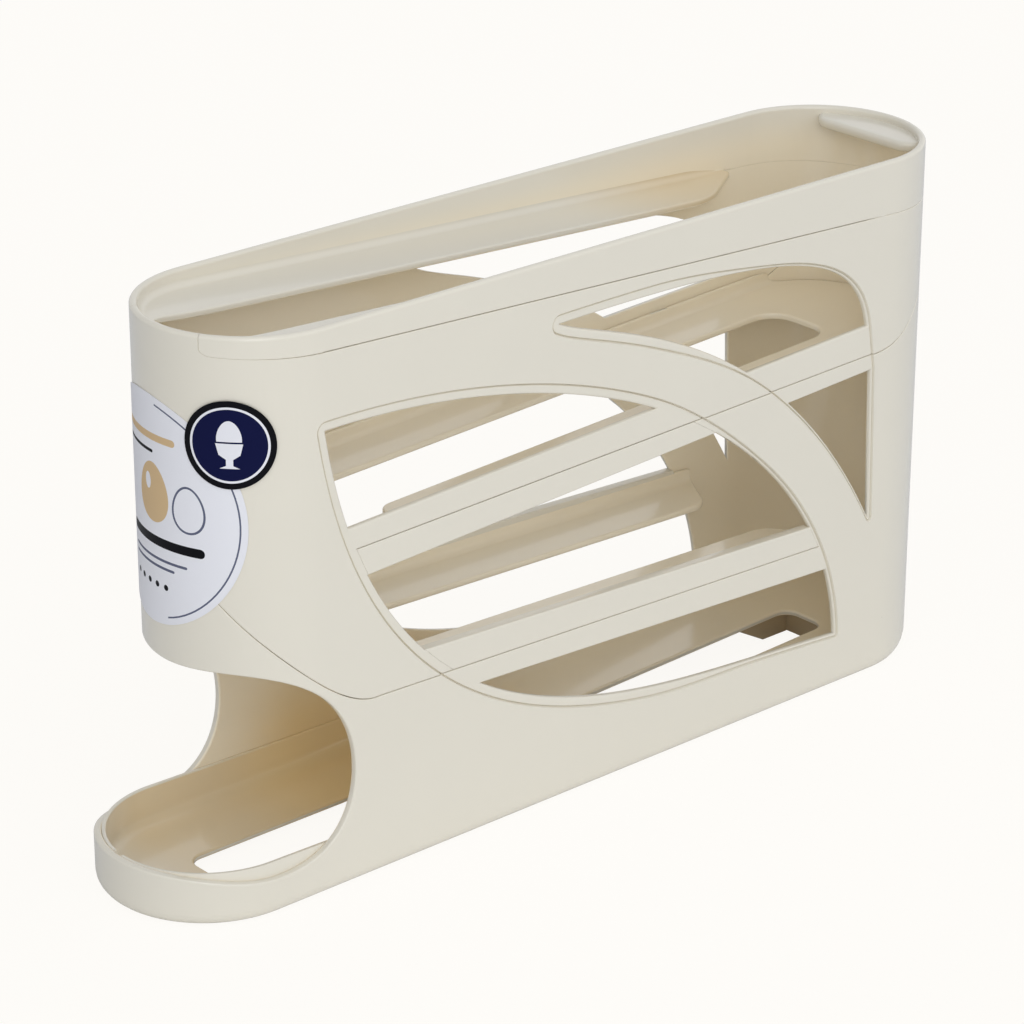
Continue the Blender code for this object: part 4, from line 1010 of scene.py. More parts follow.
POCKET_HALF = 0.0044
POCKET_DEPTH = 0.00132
POCKET_SILL = 0.0018
POCKET_END = 0.0001
POCKET_DRAFT = 0.00004
POCKET_BAR_HALF = 0.0046
POCKET_BAR_FOOT = 0.0034
POCKET_BAR_HEIGHT = 0.0010
POCKET_BAR_INSETS = (0.00005, 0.00128)
GRID_START = 0.0040
GRID_STEP = 0.0060
GRID_PLACES = (0.0190, 0.0235, 0.0280, 0.0325)
DROP_SHARE = 0.2206
SECOND_SLOT_SHARE = 0.1314
THIRD_SLOT_SHARE = 0.1657
THIRD_FRONT_SHARE = 0.1343
THIRD_TAPER = 0.0120
FRONT_CORNER = 0.0060


def flange(open_line, seam, seam_ends, side_of_seam):
    """A track's flange, which makes half of a rail, between its free edge and a seam."""
    closed = closed_curve(flange_outline(open_line, seam, seam_ends, side_of_seam))
    ends = np.array([(y, line_height(open_line, y)) for y in (LEAF_FRONT_Y - BORDER_WIDTH, LEAF_BACK_Y)])

    def radii(middles):
        result = np.tile(JOINT_ROUND, (len(middles), 1))
        y, z = middles.T
        result[np.abs(z - line_height(seam, y)) < HALF_GAP + NEAR_EDGE] = SEAM_ROUND
        result[np.abs(z - line_height(open_line, y)) < NEAR_EDGE] = RAIL_ROUND
        return result

    shells = []
    curves = rings(closed, SEAM_ROUND[0], inside=True) + ribbons(ends, RAIL_ROUND[0])
    for side in (1, -1):
        place = across(side * BORDER_FACE, side * (TRACK_HALF - TRACK_UPSTAND_WALL + HALF_GAP))
        shells.append(moulding(
            curves,
            lambda middles: inside(middles, closed),
            lambda points, fall: place(points, 0, fall),
            lambda points, fall: place(points, 1, fall), radii,
        ))
    return shells


def lengthwise(places, low, high):
    """Lines along the object at some distances from its middle."""
    return [((x, low), (x, high)) for x in places]


def grid_lines(low, high):
    """Lines that keep the net of a ledge even."""
    rows = [((0, y), (HALF_WIDTH, y)) for y in np.arange(low + GRID_START, high, GRID_STEP)]
    return rows + lengthwise(GRID_PLACES, low, high)


def pocket_lines(y):
    """The edges of the pocket in a ledge's upstand at a snap bead."""
    ends = (-POCKET_HALF, POCKET_END - POCKET_HALF, POCKET_HALF - POCKET_END, POCKET_HALF)
    insets = [TRACK_HALF - inset for inset in (POCKET_DEPTH, POCKET_DEPTH - POCKET_DRAFT)]
    lines = [((insets[0], y + end), (TRACK_HALF, y + end)) for end in ends]
    return lines + lengthwise(insets, y - POCKET_HALF, y + POCKET_HALF)


def track_floor(plan, line, notches=()):
    """Two ledges with upstands, trimmed to a plan, as a closed shell."""
    closed = closed_curve(plan)
    low = closed[:, 1].min()
    high = closed[:, 1].max()
    insets = upstand_insets(TRACK_UPSTAND_WALL, TRACK_COVE, UPSTAND_CORNER)
    curves = rings(closed, TRACK_ROUND[0], inside=True) + lengthwise((0, SLOT_HALF), low, high)
    curves += lengthwise([TRACK_HALF - inset for inset in insets], low, high) + grid_lines(low, high)
    for y in notches:
        curves += pocket_lines(y)

    def base(points):
        x, y = np.abs(points[:, 0]), points[:, 1]
        fall = TRACK_CROSS_FALL * np.clip((TRACK_HALF - x) / (TRACK_HALF - SLOT_HALF), 0, 1)
        return line_height(line, y) - fall

    def top(points, fall):
        inset = TRACK_HALF - np.abs(points[:, 0])
        wall = TRACK_UPSTAND_WALL
        lift = upstand_lift(inset, wall, TRACK_UPSTAND, TRACK_COVE, TRACK_COVE, UPSTAND_CORNER)
        for y in notches:
            share = np.clip((POCKET_HALF - np.abs(points[:, 1] - y)) / POCKET_END, 0, 1)
            share = share * np.clip((POCKET_DEPTH - inset) / POCKET_DRAFT, 0, 1)
            lift = np.minimum(lift, TRACK_UPSTAND + (POCKET_SILL - TRACK_UPSTAND) * share)
        return np.column_stack([points, base(points) + lift - fall])

    def under(points, fall):
        return np.column_stack([points, base(points) - TRACK_FLOOR + fall])

    def radii(middles):
        result = np.tile(TRACK_ROUND, (len(middles), 1))
        result[middles[:, 0] > TRACK_HALF - NEAR_EDGE] = SMALL_ROUND
        result[middles[:, 0] < NEAR_EDGE] = -1
        return result

    def keep(middles):
        return inside(middles, closed) & (middles[:, 0] > 0)

    # Both faces of the ledges take the copy of the plastic with painted light and shade inside the housing
    return moulding(curves, keep, top, under, radii, mirror=True, top_skin=INSIDE, skin=INSIDE)


def second_track(cream):
    """The second track: closed behind, open in front for the drop."""
    front = FRONT_Y + WALL + DROP_SHARE * LENGTH
    plan = both_halves([
        (SLOT_HALF, BACK_Y - SECOND_SLOT_SHARE * LENGTH, SLOT_CORNER),
        (SLOT_HALF, front, FRONT_CORNER),
        (TRACK_HALF, front, LEDGE_CORNER),
        (TRACK_HALF, BACK_Y - WALL - GAP, TRACK_HALF),
    ])
    shells = [track_floor(plan, SECOND_TRACK, bead_places())]
    shells += flange(UPPER_RAIL_FOOT, UPPER_SEAM, (SEAM_START_Y, BACK_SPLIT_Y), -1)
    for y in bead_places():
        low = line_height(SECOND_TRACK, y) + POCKET_BAR_FOOT
        outline = box_outline((y - POCKET_BAR_HALF, low), (y + POCKET_BAR_HALF, low + POCKET_BAR_HEIGHT))
        for side in (1, -1):
            place = across(*[side * (TRACK_HALF - inset) for inset in POCKET_BAR_INSETS])
            shells.append(slab(outline, place))
    piece("second_track_moulding", "upper", "second_track", cream, shells)


def third_track(cream):
    """The third track: closed in front, open behind for the drop."""
    back = BACK_Y - WALL - DROP_SHARE * LENGTH
    plan = both_halves([
        (SLOT_HALF, FRONT_Y + THIRD_SLOT_SHARE * LENGTH, SLOT_CORNER),
        (SLOT_HALF, back, SLOT_CORNER),
        (TRACK_HALF, back + THIRD_TAPER, LEDGE_CORNER),
        (TRACK_HALF, FRONT_Y + THIRD_FRONT_SHARE * LENGTH, LEDGE_CORNER),
    ])
    shells = [track_floor(plan, THIRD_TRACK)]
    shells += flange(LOWER_RAIL_TOP, LOWER_SEAM, (FRONT_SPLIT_Y, RAIL_END_Y), 1)
    piece("third_track_moulding", "lower", "third_track", cream, shells)


COVE_FADE = 0.0280
COVE_FADE_STEPS = 12
TOP_COVE_STEPS = 6
TOP_OVERLAP = 0.0004
TOP_BACK_SHARE = 0.1749
TOP_SLOT_START = 0.0090
TOP_TAPER = 0.0160
TOP_TAPER_CORNER = 0.0300
TOP_NOSE_CLEARANCE = 0.0006
TOP_BAND_ROOT = 0.0001
TOP_ROOT_LIFT = 0.0006
PAD_HALF = 0.0270
PAD_CORNER = 0.0090
PAD_REACH = 0.0165
PAD_DROP = 0.0026
PAD_THICKNESS = 0.0040
PAD_ROUND = 0.0015
PAD_ARC = 1.2
PAD_STEPS = 80


def top_floor():
    """The uppermost ledges, joined to the rim band by a cove."""
    reach = INNER_HALF + TOP_OVERLAP
    back = BACK_Y - WALL - TOP_BACK_SHARE * LENGTH
    end = back + TOP_TAPER
    plan = closed_curve(both_halves([
        (SLOT_HALF, FRONT_Y + TOP_SLOT_START, FRONT_CORNER),
        (SLOT_HALF, back - TOP_TAPER, TOP_TAPER_CORNER),
        (reach, end, LEDGE_CORNER),
        (reach, BODY_TURN_Y - reach, reach),
    ]))
    nose_y = FRONT_Y + BAND_START + TOP_NOSE_CLEARANCE
    low = plan[:, 1].min()
    high = plan[:, 1].max()
    curves = rings(plan, TRACK_ROUND[0], inside=True) + lengthwise((0, SLOT_HALF), low, high)
    curves.append(((0, nose_y), (reach, nose_y)))
    curves += grid_lines(low, high)
    for step in range(COVE_FADE_STEPS + 1):
        y = end - COVE_FADE * step / COVE_FADE_STEPS
        curves.append(((INNER_HALF - TRACK_COVE, y), (reach, y)))
    turns = [math.pi / 2 * step / TOP_COVE_STEPS for step in range(TOP_COVE_STEPS + 1)]
    insets = [INNER_HALF - TRACK_HALF, INNER_HALF - TRACK_HALF - TOP_BAND_ROOT]
    insets += [TRACK_COVE * (1 - math.cos(turn)) for turn in turns]
    curves += [stadium_line(INNER_HALF - inset, BODY_TURN_Y, BACK_TURN_Y) for inset in insets]

    def inset_of(points):
        return stadium_inset(points, BODY_TURN_Y, BACK_TURN_Y, INNER_HALF)

    def base(points):
        share = np.clip((inset_of(points) - GAP) / (TRACK_HALF - SLOT_HALF), 0, 1)
        return line_height(TOP_TRACK, points[:, 1]) - TRACK_CROSS_FALL * share

    def top(points, fall):
        swing = np.clip(1 - inset_of(points) / TRACK_COVE, 0, 1)
        fade = np.clip((end - points[:, 1]) / COVE_FADE, 0, 1)
        lift = TRACK_COVE * (1 - np.sqrt(1 - swing**2)) * fade * fade * (3 - 2 * fade)
        return np.column_stack([points, base(points) + lift - fall])

    def under(points, fall):
        joined = inset_of(points) < GAP - TOP_BAND_ROOT / 2
        lift = np.where(joined, TOP_ROOT_LIFT, fall - TRACK_FLOOR)
        return np.column_stack([points, base(points) + lift])

    def radii(middles):
        result = np.tile(TRACK_ROUND, (len(middles), 1))
        result[inset_of(middles) < GAP + NEAR_EDGE] = 0
        result[middles[:, 0] < NEAR_EDGE] = -1
        return result

    def keep(middles):
        free = (inset_of(middles) > GAP) | (middles[:, 1] > nose_y)
        return inside(middles, plan) & (middles[:, 0] > 0) & free

    # The ledges' top face takes the copy with painted shade towards the back; the underside takes the
    # inside copy with painted light and shade
    return moulding(curves, keep, top, under, radii, mirror=True, top_skin=LEDGE, skin=INSIDE)


def rest_pad():
    """The rounded pad inside the back of the rim."""
    inner = BACK_Y - PAD_REACH - WALL / 2
    outer = BACK_Y + PAD_REACH
    radius = INNER_HALF + WALL / 2
    corners = [(-PAD_HALF, inner), (PAD_HALF, inner), (PAD_HALF, outer), (-PAD_HALF, outer)]
    plate = closed_curve(rounded([(x, y, PAD_CORNER) for x, y in corners]))
    turns = np.linspace(-PAD_ARC, PAD_ARC, PAD_STEPS + 1)
    arc = [(radius * math.sin(a), BACK_TURN_Y + radius * math.cos(a)) for a in turns]
    high = HEIGHT - PAD_DROP
    low = high - PAD_THICKNESS
    curves = rings(plate, PAD_ROUND, inside=True) + [np.array(arc), ((0, inner), (0, outer))]

    def keep(middles):
        x, y = middles.T
        return inside(middles, plate) & (x > 0) & (np.hypot(x, y - BACK_TURN_Y) < radius)

    def radii(middles):
        result = np.full((len(middles), 2), PAD_ROUND)
        result[np.hypot(middles[:, 0], middles[:, 1] - BACK_TURN_Y) > radius - TOP_BAND_ROOT] = 0
        result[middles[:, 0] < NEAR_EDGE] = -1
        return result

    return moulding(
        curves, keep,
        lambda points, fall: np.column_stack([points, high - fall]),
        lambda points, fall: np.column_stack([points, low + fall]), radii, mirror=True,
    )


def top_track(cream):
    """The top track: rim band, ledges and rest pad."""
    region = band_path(HALF_GAP) + [(BEHIND_Y, HEIGHT + OUTSIDE)]
    shells = [wall_part(region, rim_lines() + window_lines()), top_floor(), rest_pad()]
    piece("top_track_moulding", "upper", "top_track", cream, shells)


BASE_FLOOR = 0.0022
BASE_SLOT_HALF = 0.0105
BASE_SLOT_X = 0.0050
BASE_SLOT_START = 0.0340
BASE_SLOT_CORNER = 0.0060
BASE_HALF = INNER_HALF - 0.00002
BASE_EDGE = 0.00015
BASE_UPSTAND_WALL = 0.0014
BASE_UPSTAND_SHARES = (0.0930, 0.0763)
BASE_UPSTAND_PLACES = (0.2, 0.4)
BASE_COVE = 0.0045
BASE_COVE_WIDE = 0.0110
BASE_BEND_Y = TRAY_Y + 0.2971 * LENGTH
BASE_RISE = math.radians(1.85)
BASE_RIB_Y = BACK_Y - 0.1429 * LENGTH + 0.008
BASE_RIB_HALF = 0.0345
BASE_RIB_STEPS = (0.0275, 0.0255)
BASE_RIB_LOW = 0.0008
BASE_ARCH_HALF = 0.0170
BASE_ARCH_RISE = 0.0016
BASE_ARCH_STEPS = 24
BASE_SLOT_GAP = 0.0015
BASE_WEB = 0.0092
BASE_WEB_LENGTHS = (0.0130, 0.0280)
BASE_WEB_HALF = 0.0006
BASE_WEB_OUT = 0.0008
BASE_WEB_BITE = 0.0010
NOTCH_TURN = math.radians(-5)
NOTCH_HALF = 0.00225
NOTCH_DEPTH = 0.0034
NOTCH_DRAFT = 0.00015
NOTCH_REACHES = (0.0320, 0.0372)


def base_height(y):
    """Height of the base track's floor: level in the tray, then rising to the back."""
    behind = np.maximum(0, np.asarray(y) - BASE_BEND_Y)
    return BASE_FLANGE + GAP + BASE_FLOOR + math.tan(BASE_RISE) * behind


def notch_share(points):
    """How far a point lies in the notch at the nose, from 0 to 1."""
    x, y = points.T
    ahead = TRAY_TURN_Y - y
    aside = np.abs(x * math.cos(NOTCH_TURN) - ahead * math.sin(NOTCH_TURN))
    along_notch = x * math.sin(NOTCH_TURN) + ahead * math.cos(NOTCH_TURN)
    return np.clip((NOTCH_HALF + NOTCH_DRAFT - aside) / (2 * NOTCH_DRAFT), 0, 1) * (along_notch > 0)


def notch_lines():
    """The sides of the notch at the nose."""
    lines = []
    for offset in [side * NOTCH_HALF + move for side in (-1, 1) for move in (-NOTCH_DRAFT, NOTCH_DRAFT)]:
        ends = []
        for reach in NOTCH_REACHES:
            x = reach * math.sin(NOTCH_TURN) + offset * math.cos(NOTCH_TURN)
            ends.append((x, TRAY_TURN_Y - reach * math.cos(NOTCH_TURN) + offset * math.sin(NOTCH_TURN)))
        lines.append(ends)
    return lines


def base_floor():
    """The floor of the housing and the tray, with its upstand all round and its long slot."""
    front = TRAY_Y + BASE_SLOT_START
    back = BASE_RIB_Y - BASE_SLOT_GAP
    right = BASE_SLOT_X + BASE_SLOT_HALF
    left = BASE_SLOT_X - BASE_SLOT_HALF
    corners = [(right, front), (right, back), (left, back), (left, front)]
    slot = closed_curve(rounded([(x, y, BASE_SLOT_CORNER) for x, y in corners]))
    insets = upstand_insets(BASE_UPSTAND_WALL, BASE_COVE_WIDE, UPSTAND_CORNER)
    curves = []
    for inset in insets + [0, BASE_EDGE / 3, BASE_EDGE, FLANGE_CHAMFER]:
        half = stadium_line(BASE_HALF - inset, TRAY_TURN_Y, BACK_TURN_Y)
        curves.append(np.concatenate([half, (half * (-1, 1))[::-1]]))
    curves += rings(slot, TRACK_ROUND[0]) + notch_lines()
    curves += [((0, TRAY_Y), (0, BACK_Y)), ((-HALF_WIDTH, BASE_BEND_Y), (HALF_WIDTH, BASE_BEND_Y))]

    def inset_of(points):
        return stadium_inset(points, TRAY_TURN_Y, BACK_TURN_Y, BASE_HALF)

    def top(points, fall):
        floor_z = base_height(points[:, 1])
        share = (points[:, 1] - TRAY_Y) / (BACK_Y - TRAY_Y)
        rise = np.interp(share, BASE_UPSTAND_PLACES, BASE_UPSTAND_SHARES) * HEIGHT - floor_z
        cove = np.minimum(BASE_COVE, rise / 2)
        wall = BASE_UPSTAND_WALL
        lift = upstand_lift(inset_of(points), wall, rise, cove, BASE_COVE_WIDE, UPSTAND_CORNER)
        lift = np.minimum(lift, rise - NOTCH_DEPTH * notch_share(points))
        return np.column_stack([points, floor_z + lift - fall])

    def under(points, fall):
        chamfer = np.clip(FLANGE_CHAMFER - inset_of(points), 0, FLANGE_CHAMFER)
        height = base_height(points[:, 1]) - BASE_FLOOR + np.maximum(fall, chamfer)
        return np.column_stack([points, height])

    def radii(middles):
        result = np.tile((BASE_EDGE, 0.0), (len(middles), 1))
        result[inset_of(middles) > BASE_COVE_WIDE] = TRACK_ROUND
        return result

    def keep(middles):
        return (inset_of(middles) > 0) & ~inside(middles, slot)

    # The lip stays the outer cream; the rest of the floor takes the copy with painted shade
    def paint(middles):
        lip = (inset_of(middles) < BASE_UPSTAND_WALL) & (middles[:, 1] < BODY_TURN_Y)
        return np.where(lip, 0, FLOOR)

    return moulding(curves, keep, top, under, radii, paint=paint)


def base_rib():
    """The rib under the floor behind the slot, with a low arch."""
    foot = BASE_FLANGE + GAP
    top = float(base_height(BASE_RIB_Y)) - BASE_FLOOR / 2
    outer, inner = BASE_RIB_STEPS
    start = [(-BASE_RIB_HALF, top), (-BASE_RIB_HALF, foot), (-outer, foot), (-inner, BASE_RIB_LOW)]
    turns = np.linspace(math.pi, 0, BASE_ARCH_STEPS + 1)
    arch = [(BASE_ARCH_HALF * math.cos(a), BASE_RIB_LOW + BASE_ARCH_RISE * math.sin(a)) for a in turns]
    outline = start + arch + [(-x, z) for x, z in start[::-1]]
    # The rib takes the dark copy of the plastic: painted shade under the floor
    return slab(outline, along(BASE_RIB_Y - GUSSET_HALF, BASE_RIB_Y + GUSSET_HALF), skin=UNDER)


def base_webs():
    """The tapered webs beside the end of the slot, which join the rib."""
    back = BASE_RIB_Y - BASE_WEB_BITE
    deep, long = BASE_WEB_LENGTHS
    top, tip = (float(base_height(y)) - BASE_FLOOR / 2 for y in (back, back - long))
    outline = [(back, top), (back - long, tip), (back - deep, top - BASE_WEB), (back, top - BASE_WEB)]
    shells = []
    for side in (1, -1):
        x = BASE_SLOT_X + side * (BASE_SLOT_HALF + BASE_WEB_OUT)
        place = across(x + side * BASE_WEB_HALF, x - side * BASE_WEB_HALF)
        # The webs take the dark copy of the plastic: painted shade under the floor
        shells.append(slab(outline, place, skin=UNDER))
    return shells


def base_track(cream):
    """The base track with its rib and webs."""
    shells = [base_floor(), base_rib()] + base_webs()
    piece("base_track_moulding", "lower", "base_track", cream, shells)


# Labels

LABEL_STEP = 0.0018
EGG_NARROWING = 0.14
FRONT_LABEL_REACH = 0.0415
FRONT_LABEL_PLACE = (math.radians(-10.0), 0.6799 * HEIGHT)
ROUND_LABEL_REACH = 0.0155
ROUND_LABEL_PLACE = (math.radians(41.6), 0.821 * HEIGHT)
FRONT_LABEL_FACES = (0.0001, 0.0004)
ROUND_LABEL_FACES = (0.0005, 0.0008)
CUP_HALF = (
    (0.0046, 0.0006), (0.0036, -0.0034), (0.0012, -0.0050), (0.0012, -0.0072), (0.0034, -0.0082),
)


def oval(centre, half_width, half_height, narrowing=0.0, steps=48):
    """A closed oval, which may be narrower above, like an egg."""
    turns = np.linspace(0, math.tau, steps + 1)
    width = half_width * (1 - narrowing * np.sin(turns))
    return np.column_stack([centre[0] + width * np.cos(turns), centre[1] + half_height * np.sin(turns)])


def bar(left, right, middle, thickness):
    """A closed level bar with round ends."""
    radius = thickness / 2
    turns = np.linspace(math.pi / 2, 3 * math.pi / 2, CORNER_STEPS + 1)
    start = np.column_stack([left + radius + radius * np.cos(turns), middle + radius * np.sin(turns)])
    end = np.column_stack([right - radius - radius * np.cos(turns), middle - radius * np.sin(turns)])
    return closed_curve(np.concatenate([start, end]))


def arc_band(radius, thickness, first, last):
    """A closed stretch of a ring between two angles."""
    turns = np.linspace(math.radians(first), math.radians(last), TURN_STEPS)
    outer = np.column_stack([radius * np.cos(turns), radius * np.sin(turns)])
    return closed_curve(np.concatenate([outer, outer[::-1] * (1 - thickness / radius)]))


def sticker(name, place, reach, sides, motifs, node, materials):
    """A thin round sticker on the nose. Each motif is a colour number and a closed outline."""
    turn, height = place
    low, high = sides
    edge = oval((0, 0), reach, reach, steps=120)
    columns = [((u, -reach), (u, reach)) for u in np.arange(-reach, reach, LABEL_STEP)]

    def paint(middles):
        colours = np.zeros(len(middles), int)
        for colour, outline in motifs:
            colours[inside(middles, outline)] = colour
        return colours

    def at(points, distance):
        swing = turn + points[:, 0] / HALF_WIDTH
        x = distance * np.sin(swing)
        y = BODY_TURN_Y - distance * np.cos(swing)
        return np.column_stack([x, y, height + points[:, 1]])

    shell = moulding(
        [edge] + columns + [outline for _, outline in motifs],
        lambda middles: inside(middles, edge),
        lambda points, fall: at(points, HALF_WIDTH + high),
        lambda points, fall: at(points, HALF_WIDTH + low),
        lambda middles: np.zeros((len(middles), 2)), paint=paint, both=False,
    )
    piece(name, "upper", node, materials, [shell])


def front_label(white, tan, ink, grey):
    """The large pale sticker, with eggs, rules and bars."""
    motifs = [
        (3, arc_band(0.0392, 0.0006, -75, 80)),
        (1, bar(-0.018, 0.016, 0.0265, 0.0026)),
        (2, bar(-0.016, 0.005, 0.0212, 0.0012)),
        (1, oval((0.0040, 0.0065), 0.0082, 0.0108, EGG_NARROWING)),
        (0, oval((0.0015, 0.0100), 0.0016, 0.0030)),
        (3, oval((0.0205, 0.0040), 0.0066, 0.0086, EGG_NARROWING)),
        (0, oval((0.0205, 0.0040), 0.0058, 0.0078, EGG_NARROWING)),
        (2, bar(-0.015, 0.0265, -0.0108, 0.0034)),
        (3, bar(-0.012, 0.0195, -0.0172, 0.0010)),
        (3, bar(-0.012, 0.0140, -0.0200, 0.0010)),
    ]
    motifs += [(2, oval((0.0048 * k - 0.0096, -0.0268), 0.0011, 0.0011, steps=20)) for k in range(5)]
    sticker(
        "front_sticker", FRONT_LABEL_PLACE, FRONT_LABEL_REACH, FRONT_LABEL_FACES, motifs,
        "front_label", [white, tan, ink, grey],
    )


def round_label(ink, white, navy):
    """The small dark sticker, with an egg in a cup."""
    cup = [(-x, z) for x, z in CUP_HALF[:1]] + list(CUP_HALF) + [(-x, z) for x, z in CUP_HALF[:0:-1]]
    motifs = [
        (1, oval((0, 0), 0.0134, 0.0134, steps=96)),
        (2, oval((0, 0), 0.0126, 0.0126, steps=96)),
        (1, oval((0, 0.0028), 0.0042, 0.0058, EGG_NARROWING)),
        (2, closed_curve(box_outline((-0.0060, 0.0002), (0.0060, 0.0012)))),
        (1, closed_curve(cup)),
    ]
    sticker(
        "round_sticker", ROUND_LABEL_PLACE, ROUND_LABEL_REACH, ROUND_LABEL_FACES, motifs,
        "round_label", [ink, white, navy],
    )


# Materials

def add_node(tree, kind, inputs):
    """A new shader node whose inputs, by name or number, are linked to outputs or set to values."""
    node = tree.nodes.new(kind)
    fill(tree, node, inputs)
    return node


def fill(tree, node, inputs):
    """Link a node's inputs to other nodes' outputs, or set them to values."""
    for key, value in inputs.items():
        if isinstance(value, bpy.types.NodeSocket):
            tree.links.new(value, node.inputs[key])
        else:
            node.inputs[key].default_value = value


def calculated(tree, operation, *values):
    """The output of a math node on numbers and other outputs."""
    node = add_node(tree, "ShaderNodeMath", dict(enumerate(values)))
    node.operation = operation
    return node.outputs[0]


def mixed(tree, share, first, second):
    """The output of a node that mixes two colours by a share."""
    node = tree.nodes.new("ShaderNodeMix")
    node.data_type = "RGBA"
    fill(tree, node, {"Factor": share, "A": first, "B": second})
    return node.outputs["Result"]


def moulded_finish():
    """Group for moulded plastic: soft mottling, finger marks and a very fine ripple."""
    group = bpy.data.node_groups.new("moulded_finish", "ShaderNodeTree")
    face = group.interface
    for name, kind, value in (
        ("Colour", "NodeSocketColor", CREAM),
        ("Mottle", "NodeSocketFloat", 0.03),
        ("Roughness", "NodeSocketFloat", 0.3),
        ("Marks", "NodeSocketFloat", 0.06),
        ("Ripple Scale", "NodeSocketFloat", 30.0),
        ("Grain Scale", "NodeSocketFloat", 1800.0),
    ):
        face.new_socket(name, in_out="INPUT", socket_type=kind).default_value = value
    for name, kind in (
        ("Colour", "NodeSocketColor"),
        ("Roughness", "NodeSocketFloat"),
        ("Height", "NodeSocketFloat"),
    ):
        face.new_socket(name, in_out="OUTPUT", socket_type=kind)
    given = group.nodes.new("NodeGroupInput").outputs
    result = group.nodes.new("NodeGroupOutput")
    place = group.nodes.new("ShaderNodeTexCoord").outputs["Object"]

    def noise(**inputs):
        settings = {"Vector": place} | inputs
        return add_node(group, "ShaderNodeTexNoise", settings).outputs["Fac"]

    mottle = calculated(group, "SUBTRACT", noise(Scale=22, Detail=3), 0.5)
    mottle = calculated(group, "MULTIPLY", mottle, given["Mottle"])
    value = calculated(group, "ADD", mottle, 1.0)
    tone = add_node(group, "ShaderNodeHueSaturation", {"Color": given["Colour"], "Value": value})
    marks = noise(Scale=55, Detail=5, Distortion=0.6)
    ripple = noise(Scale=given["Ripple Scale"], Detail=1)
    grain = noise(Scale=given["Grain Scale"], Detail=2)
    fill(group, result, {
        "Colour": tone.outputs["Color"],
        "Roughness": calculated(group, "MULTIPLY_ADD", marks, given["Marks"], given["Roughness"]),
        "Height": calculated(group, "MULTIPLY_ADD", grain, 0.03, ripple),
    })
    return group


def plastic(name, finish, colour, roughness):
    """Glossy moulded plastic."""
    material = bpy.data.materials.new(name)
    material.use_nodes = True
    tree = material.node_tree
    surface = tree.nodes.new("ShaderNodeGroup")
    surface.node_tree = finish
    fill(tree, surface, {"Colour": colour, "Roughness": roughness})
    bump = add_node(tree, "ShaderNodeBump", {
        "Strength": 0.35, "Distance": 0.0004, "Height": surface.outputs["Height"],
    })
    shader = tree.nodes["Principled BSDF"]
    fill(tree, shader, {
        "Base Color": surface.outputs["Colour"],
        "Roughness": surface.outputs["Roughness"],
        "Normal": bump.outputs["Normal"],
    })
    shader.inputs["IOR"].default_value = 1.49
    shader.inputs["Coat Weight"].default_value = 0.7
    shader.inputs["Coat Roughness"].default_value = 0.10
    return material


def print_ink(name, finish, colour):
    """A printed, lightly varnished sticker colour."""
    material = plastic(name, finish, colour, LABEL_ROUGHNESS)
    shader = material.node_tree.nodes["Principled BSDF"]
    shader.inputs["Coat Weight"].default_value = 0.0
    shader.inputs["Specular IOR Level"].default_value = 0.08
    return material


def shade_painted_plastic(name, finish, roughness, colour, ramps):
    """The same plastic with painted light and shade that change along axes. Each ramp is an axis, two
    places and the colour it reaches.
    """
    material = plastic(name, finish, colour, roughness)
    tree = material.node_tree
    place = tree.nodes.new("ShaderNodeTexCoord").outputs["Object"]
    parts = add_node(tree, "ShaderNodeSeparateXYZ", {0: place}).outputs
    tone = colour
    for axis, low, high, reached in ramps:
        ends = {"Value": parts[axis], "From Min": low, "From Max": high}
        share = add_node(tree, "ShaderNodeMapRange", ends)
        share.interpolation_type = "SMOOTHSTEP"
        tone = mixed(tree, share.outputs["Result"], tone, reached)
    group = next(node for node in tree.nodes if node.type == "GROUP")
    tree.links.new(tone, group.inputs["Colour"])
    return material


# Stage

def camera():
    """The camera at the photograph's place."""
    data = bpy.data.cameras.new("camera")
    data.lens = CAMERA_LENS
    data.sensor_width = 36
    data.clip_end = 50
    thing = bpy.data.objects.new("camera", data)
    bpy.context.scene.collection.objects.link(thing)
    ahead = Vector((
        -math.sin(CAMERA_TURN) * math.cos(CAMERA_PITCH),
        math.cos(CAMERA_TURN) * math.cos(CAMERA_PITCH),
        -math.sin(CAMERA_PITCH),
    ))
    aim = ahead.to_track_quat("-Z", "Y").to_matrix().to_4x4()
    thing.matrix_world = Matrix.Translation(CAMERA_PLACE) @ aim @ Matrix.Rotation(CAMERA_ROLL, 4, "Z")
    bpy.context.scene.camera = thing


def softbox(name, place, width, height, power):
    """A large soft lamp that points at the object."""
    data = bpy.data.lights.new(name, "AREA")
    data.shape = "RECTANGLE"
    data.size = width
    data.size_y = height
    data.energy = power
    data.color = LAMP_COLOUR
    thing = bpy.data.objects.new(name, data)
    bpy.context.scene.collection.objects.link(thing)
    thing.location = place
    thing.rotation_euler = (Vector(LAMP_AIM) - Vector(place)).to_track_quat("-Z", "Y").to_euler()


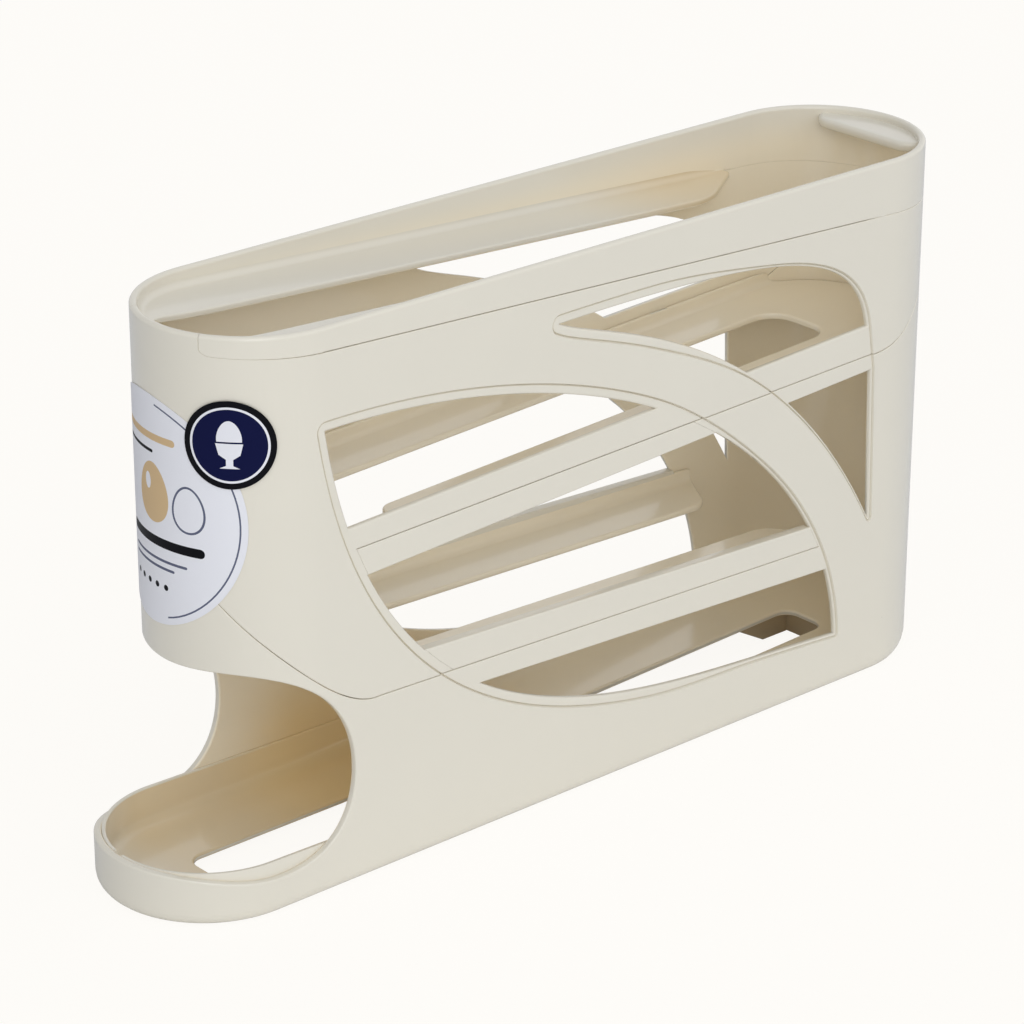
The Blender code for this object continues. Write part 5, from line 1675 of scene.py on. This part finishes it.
def world():
    """Warm white where the camera or a gloss sees it, and dimmer on one side where it lights the object."""
    space = bpy.data.worlds.new("studio")
    bpy.context.scene.world = space
    space.use_nodes = True
    tree = space.node_tree
    path = tree.nodes.new("ShaderNodeLightPath").outputs
    seen = calculated(tree, "MAXIMUM", path["Is Camera Ray"], path["Is Transmission Ray"])
    mirrored = calculated(tree, "MAXIMUM", seen, path["Is Glossy Ray"])
    place = tree.nodes.new("ShaderNodeTexCoord").outputs["Generated"]
    toward = add_node(tree, "ShaderNodeVectorMath", {0: place, 1: SKY_SIDE})
    toward.operation = "DOT_PRODUCT"
    ends = {"Value": toward.outputs["Value"], "From Min": SKY_DARK_END}
    share = add_node(tree, "ShaderNodeMapRange", ends)
    sky = mixed(tree, share.outputs["Result"], SKY_DIM, SKY_BRIGHT)
    tree.links.new(mixed(tree, mirrored, sky, BACKDROP), tree.nodes["Background"].inputs["Color"])


def floor():
    """The pale floor, which keeps a faint shadow."""
    mesh = bpy.data.meshes.new("floor")
    half = FLOOR_SIZE / 2
    corners = [(-half, -half, 0), (half, -half, 0), (half, half, 0), (-half, half, 0)]
    mesh.from_pydata(corners, [], [(0, 1, 2, 3)])
    thing = bpy.data.objects.new("floor", mesh)
    bpy.context.scene.collection.objects.link(thing)
    material = bpy.data.materials.new("pale_floor")
    material.use_nodes = True
    tree = material.node_tree
    shader = tree.nodes["Principled BSDF"]
    shader.inputs["Base Color"].default_value = FLOOR_COLOUR
    shader.inputs["Roughness"].default_value = 0.9
    shader.inputs["Specular IOR Level"].default_value = 0.1
    seen = tree.nodes.new("ShaderNodeLightPath").outputs["Is Camera Ray"]
    share = calculated(tree, "MULTIPLY", seen, FLOOR_GLOW_SHARE)
    glow = add_node(tree, "ShaderNodeEmission", {"Color": BACKDROP, "Strength": FLOOR_GLOW})
    mix = add_node(tree, "ShaderNodeMixShader", {
        "Fac": share, 1: shader.outputs["BSDF"], 2: glow.outputs["Emission"],
    })
    tree.links.new(mix.outputs["Shader"], tree.nodes["Material Output"].inputs["Surface"])
    mesh.materials.append(material)


def studio():
    """Camera, lamps, world and floor."""
    bpy.context.scene.view_settings.view_transform = "Standard"
    camera()
    world()
    floor()
    softbox("key", KEY_PLACE, KEY_WIDTH, KEY_HEIGHT, KEY_POWER)


studio()
finish = moulded_finish()
# The outer cream, then copies of it with painted light and shade: inside, on the base floor, on the top
# ledges and under the floor
cream = [
    plastic("cream_plastic", finish, CREAM, OUTER_ROUGHNESS),
    shade_painted_plastic("cream_plastic_inside_shading", finish, INSIDE_ROUGHNESS, CREAM_INSIDE_LIGHT, INSIDE_PAINTED_SHADING),
    shade_painted_plastic("cream_plastic_floor_shading", finish, OUTER_ROUGHNESS, CREAM, FLOOR_PAINTED_SHADING),
    shade_painted_plastic("cream_plastic_ledge_shading", finish, LEDGE_ROUGHNESS, CREAM, LEDGE_PAINTED_SHADING),
    plastic("cream_plastic_under_shade", finish, CREAM_UNDER_SHADE, UNDER_ROUGHNESS),
]
label_white = print_ink("label_white", finish, LABEL_WHITE)
label_navy = print_ink("label_navy", finish, LABEL_NAVY)
label_tan = print_ink("label_tan", finish, LABEL_TAN)
label_ink = print_ink("label_ink", finish, LABEL_INK)
label_grey = print_ink("label_grey", finish, LABEL_GREY)
for maker in (lower_shell, upper_shell, top_track, second_track, third_track, base_track):
    maker(cream)
front_label(label_white, label_tan, label_ink, label_grey)
round_label(label_ink, label_white, label_navy)
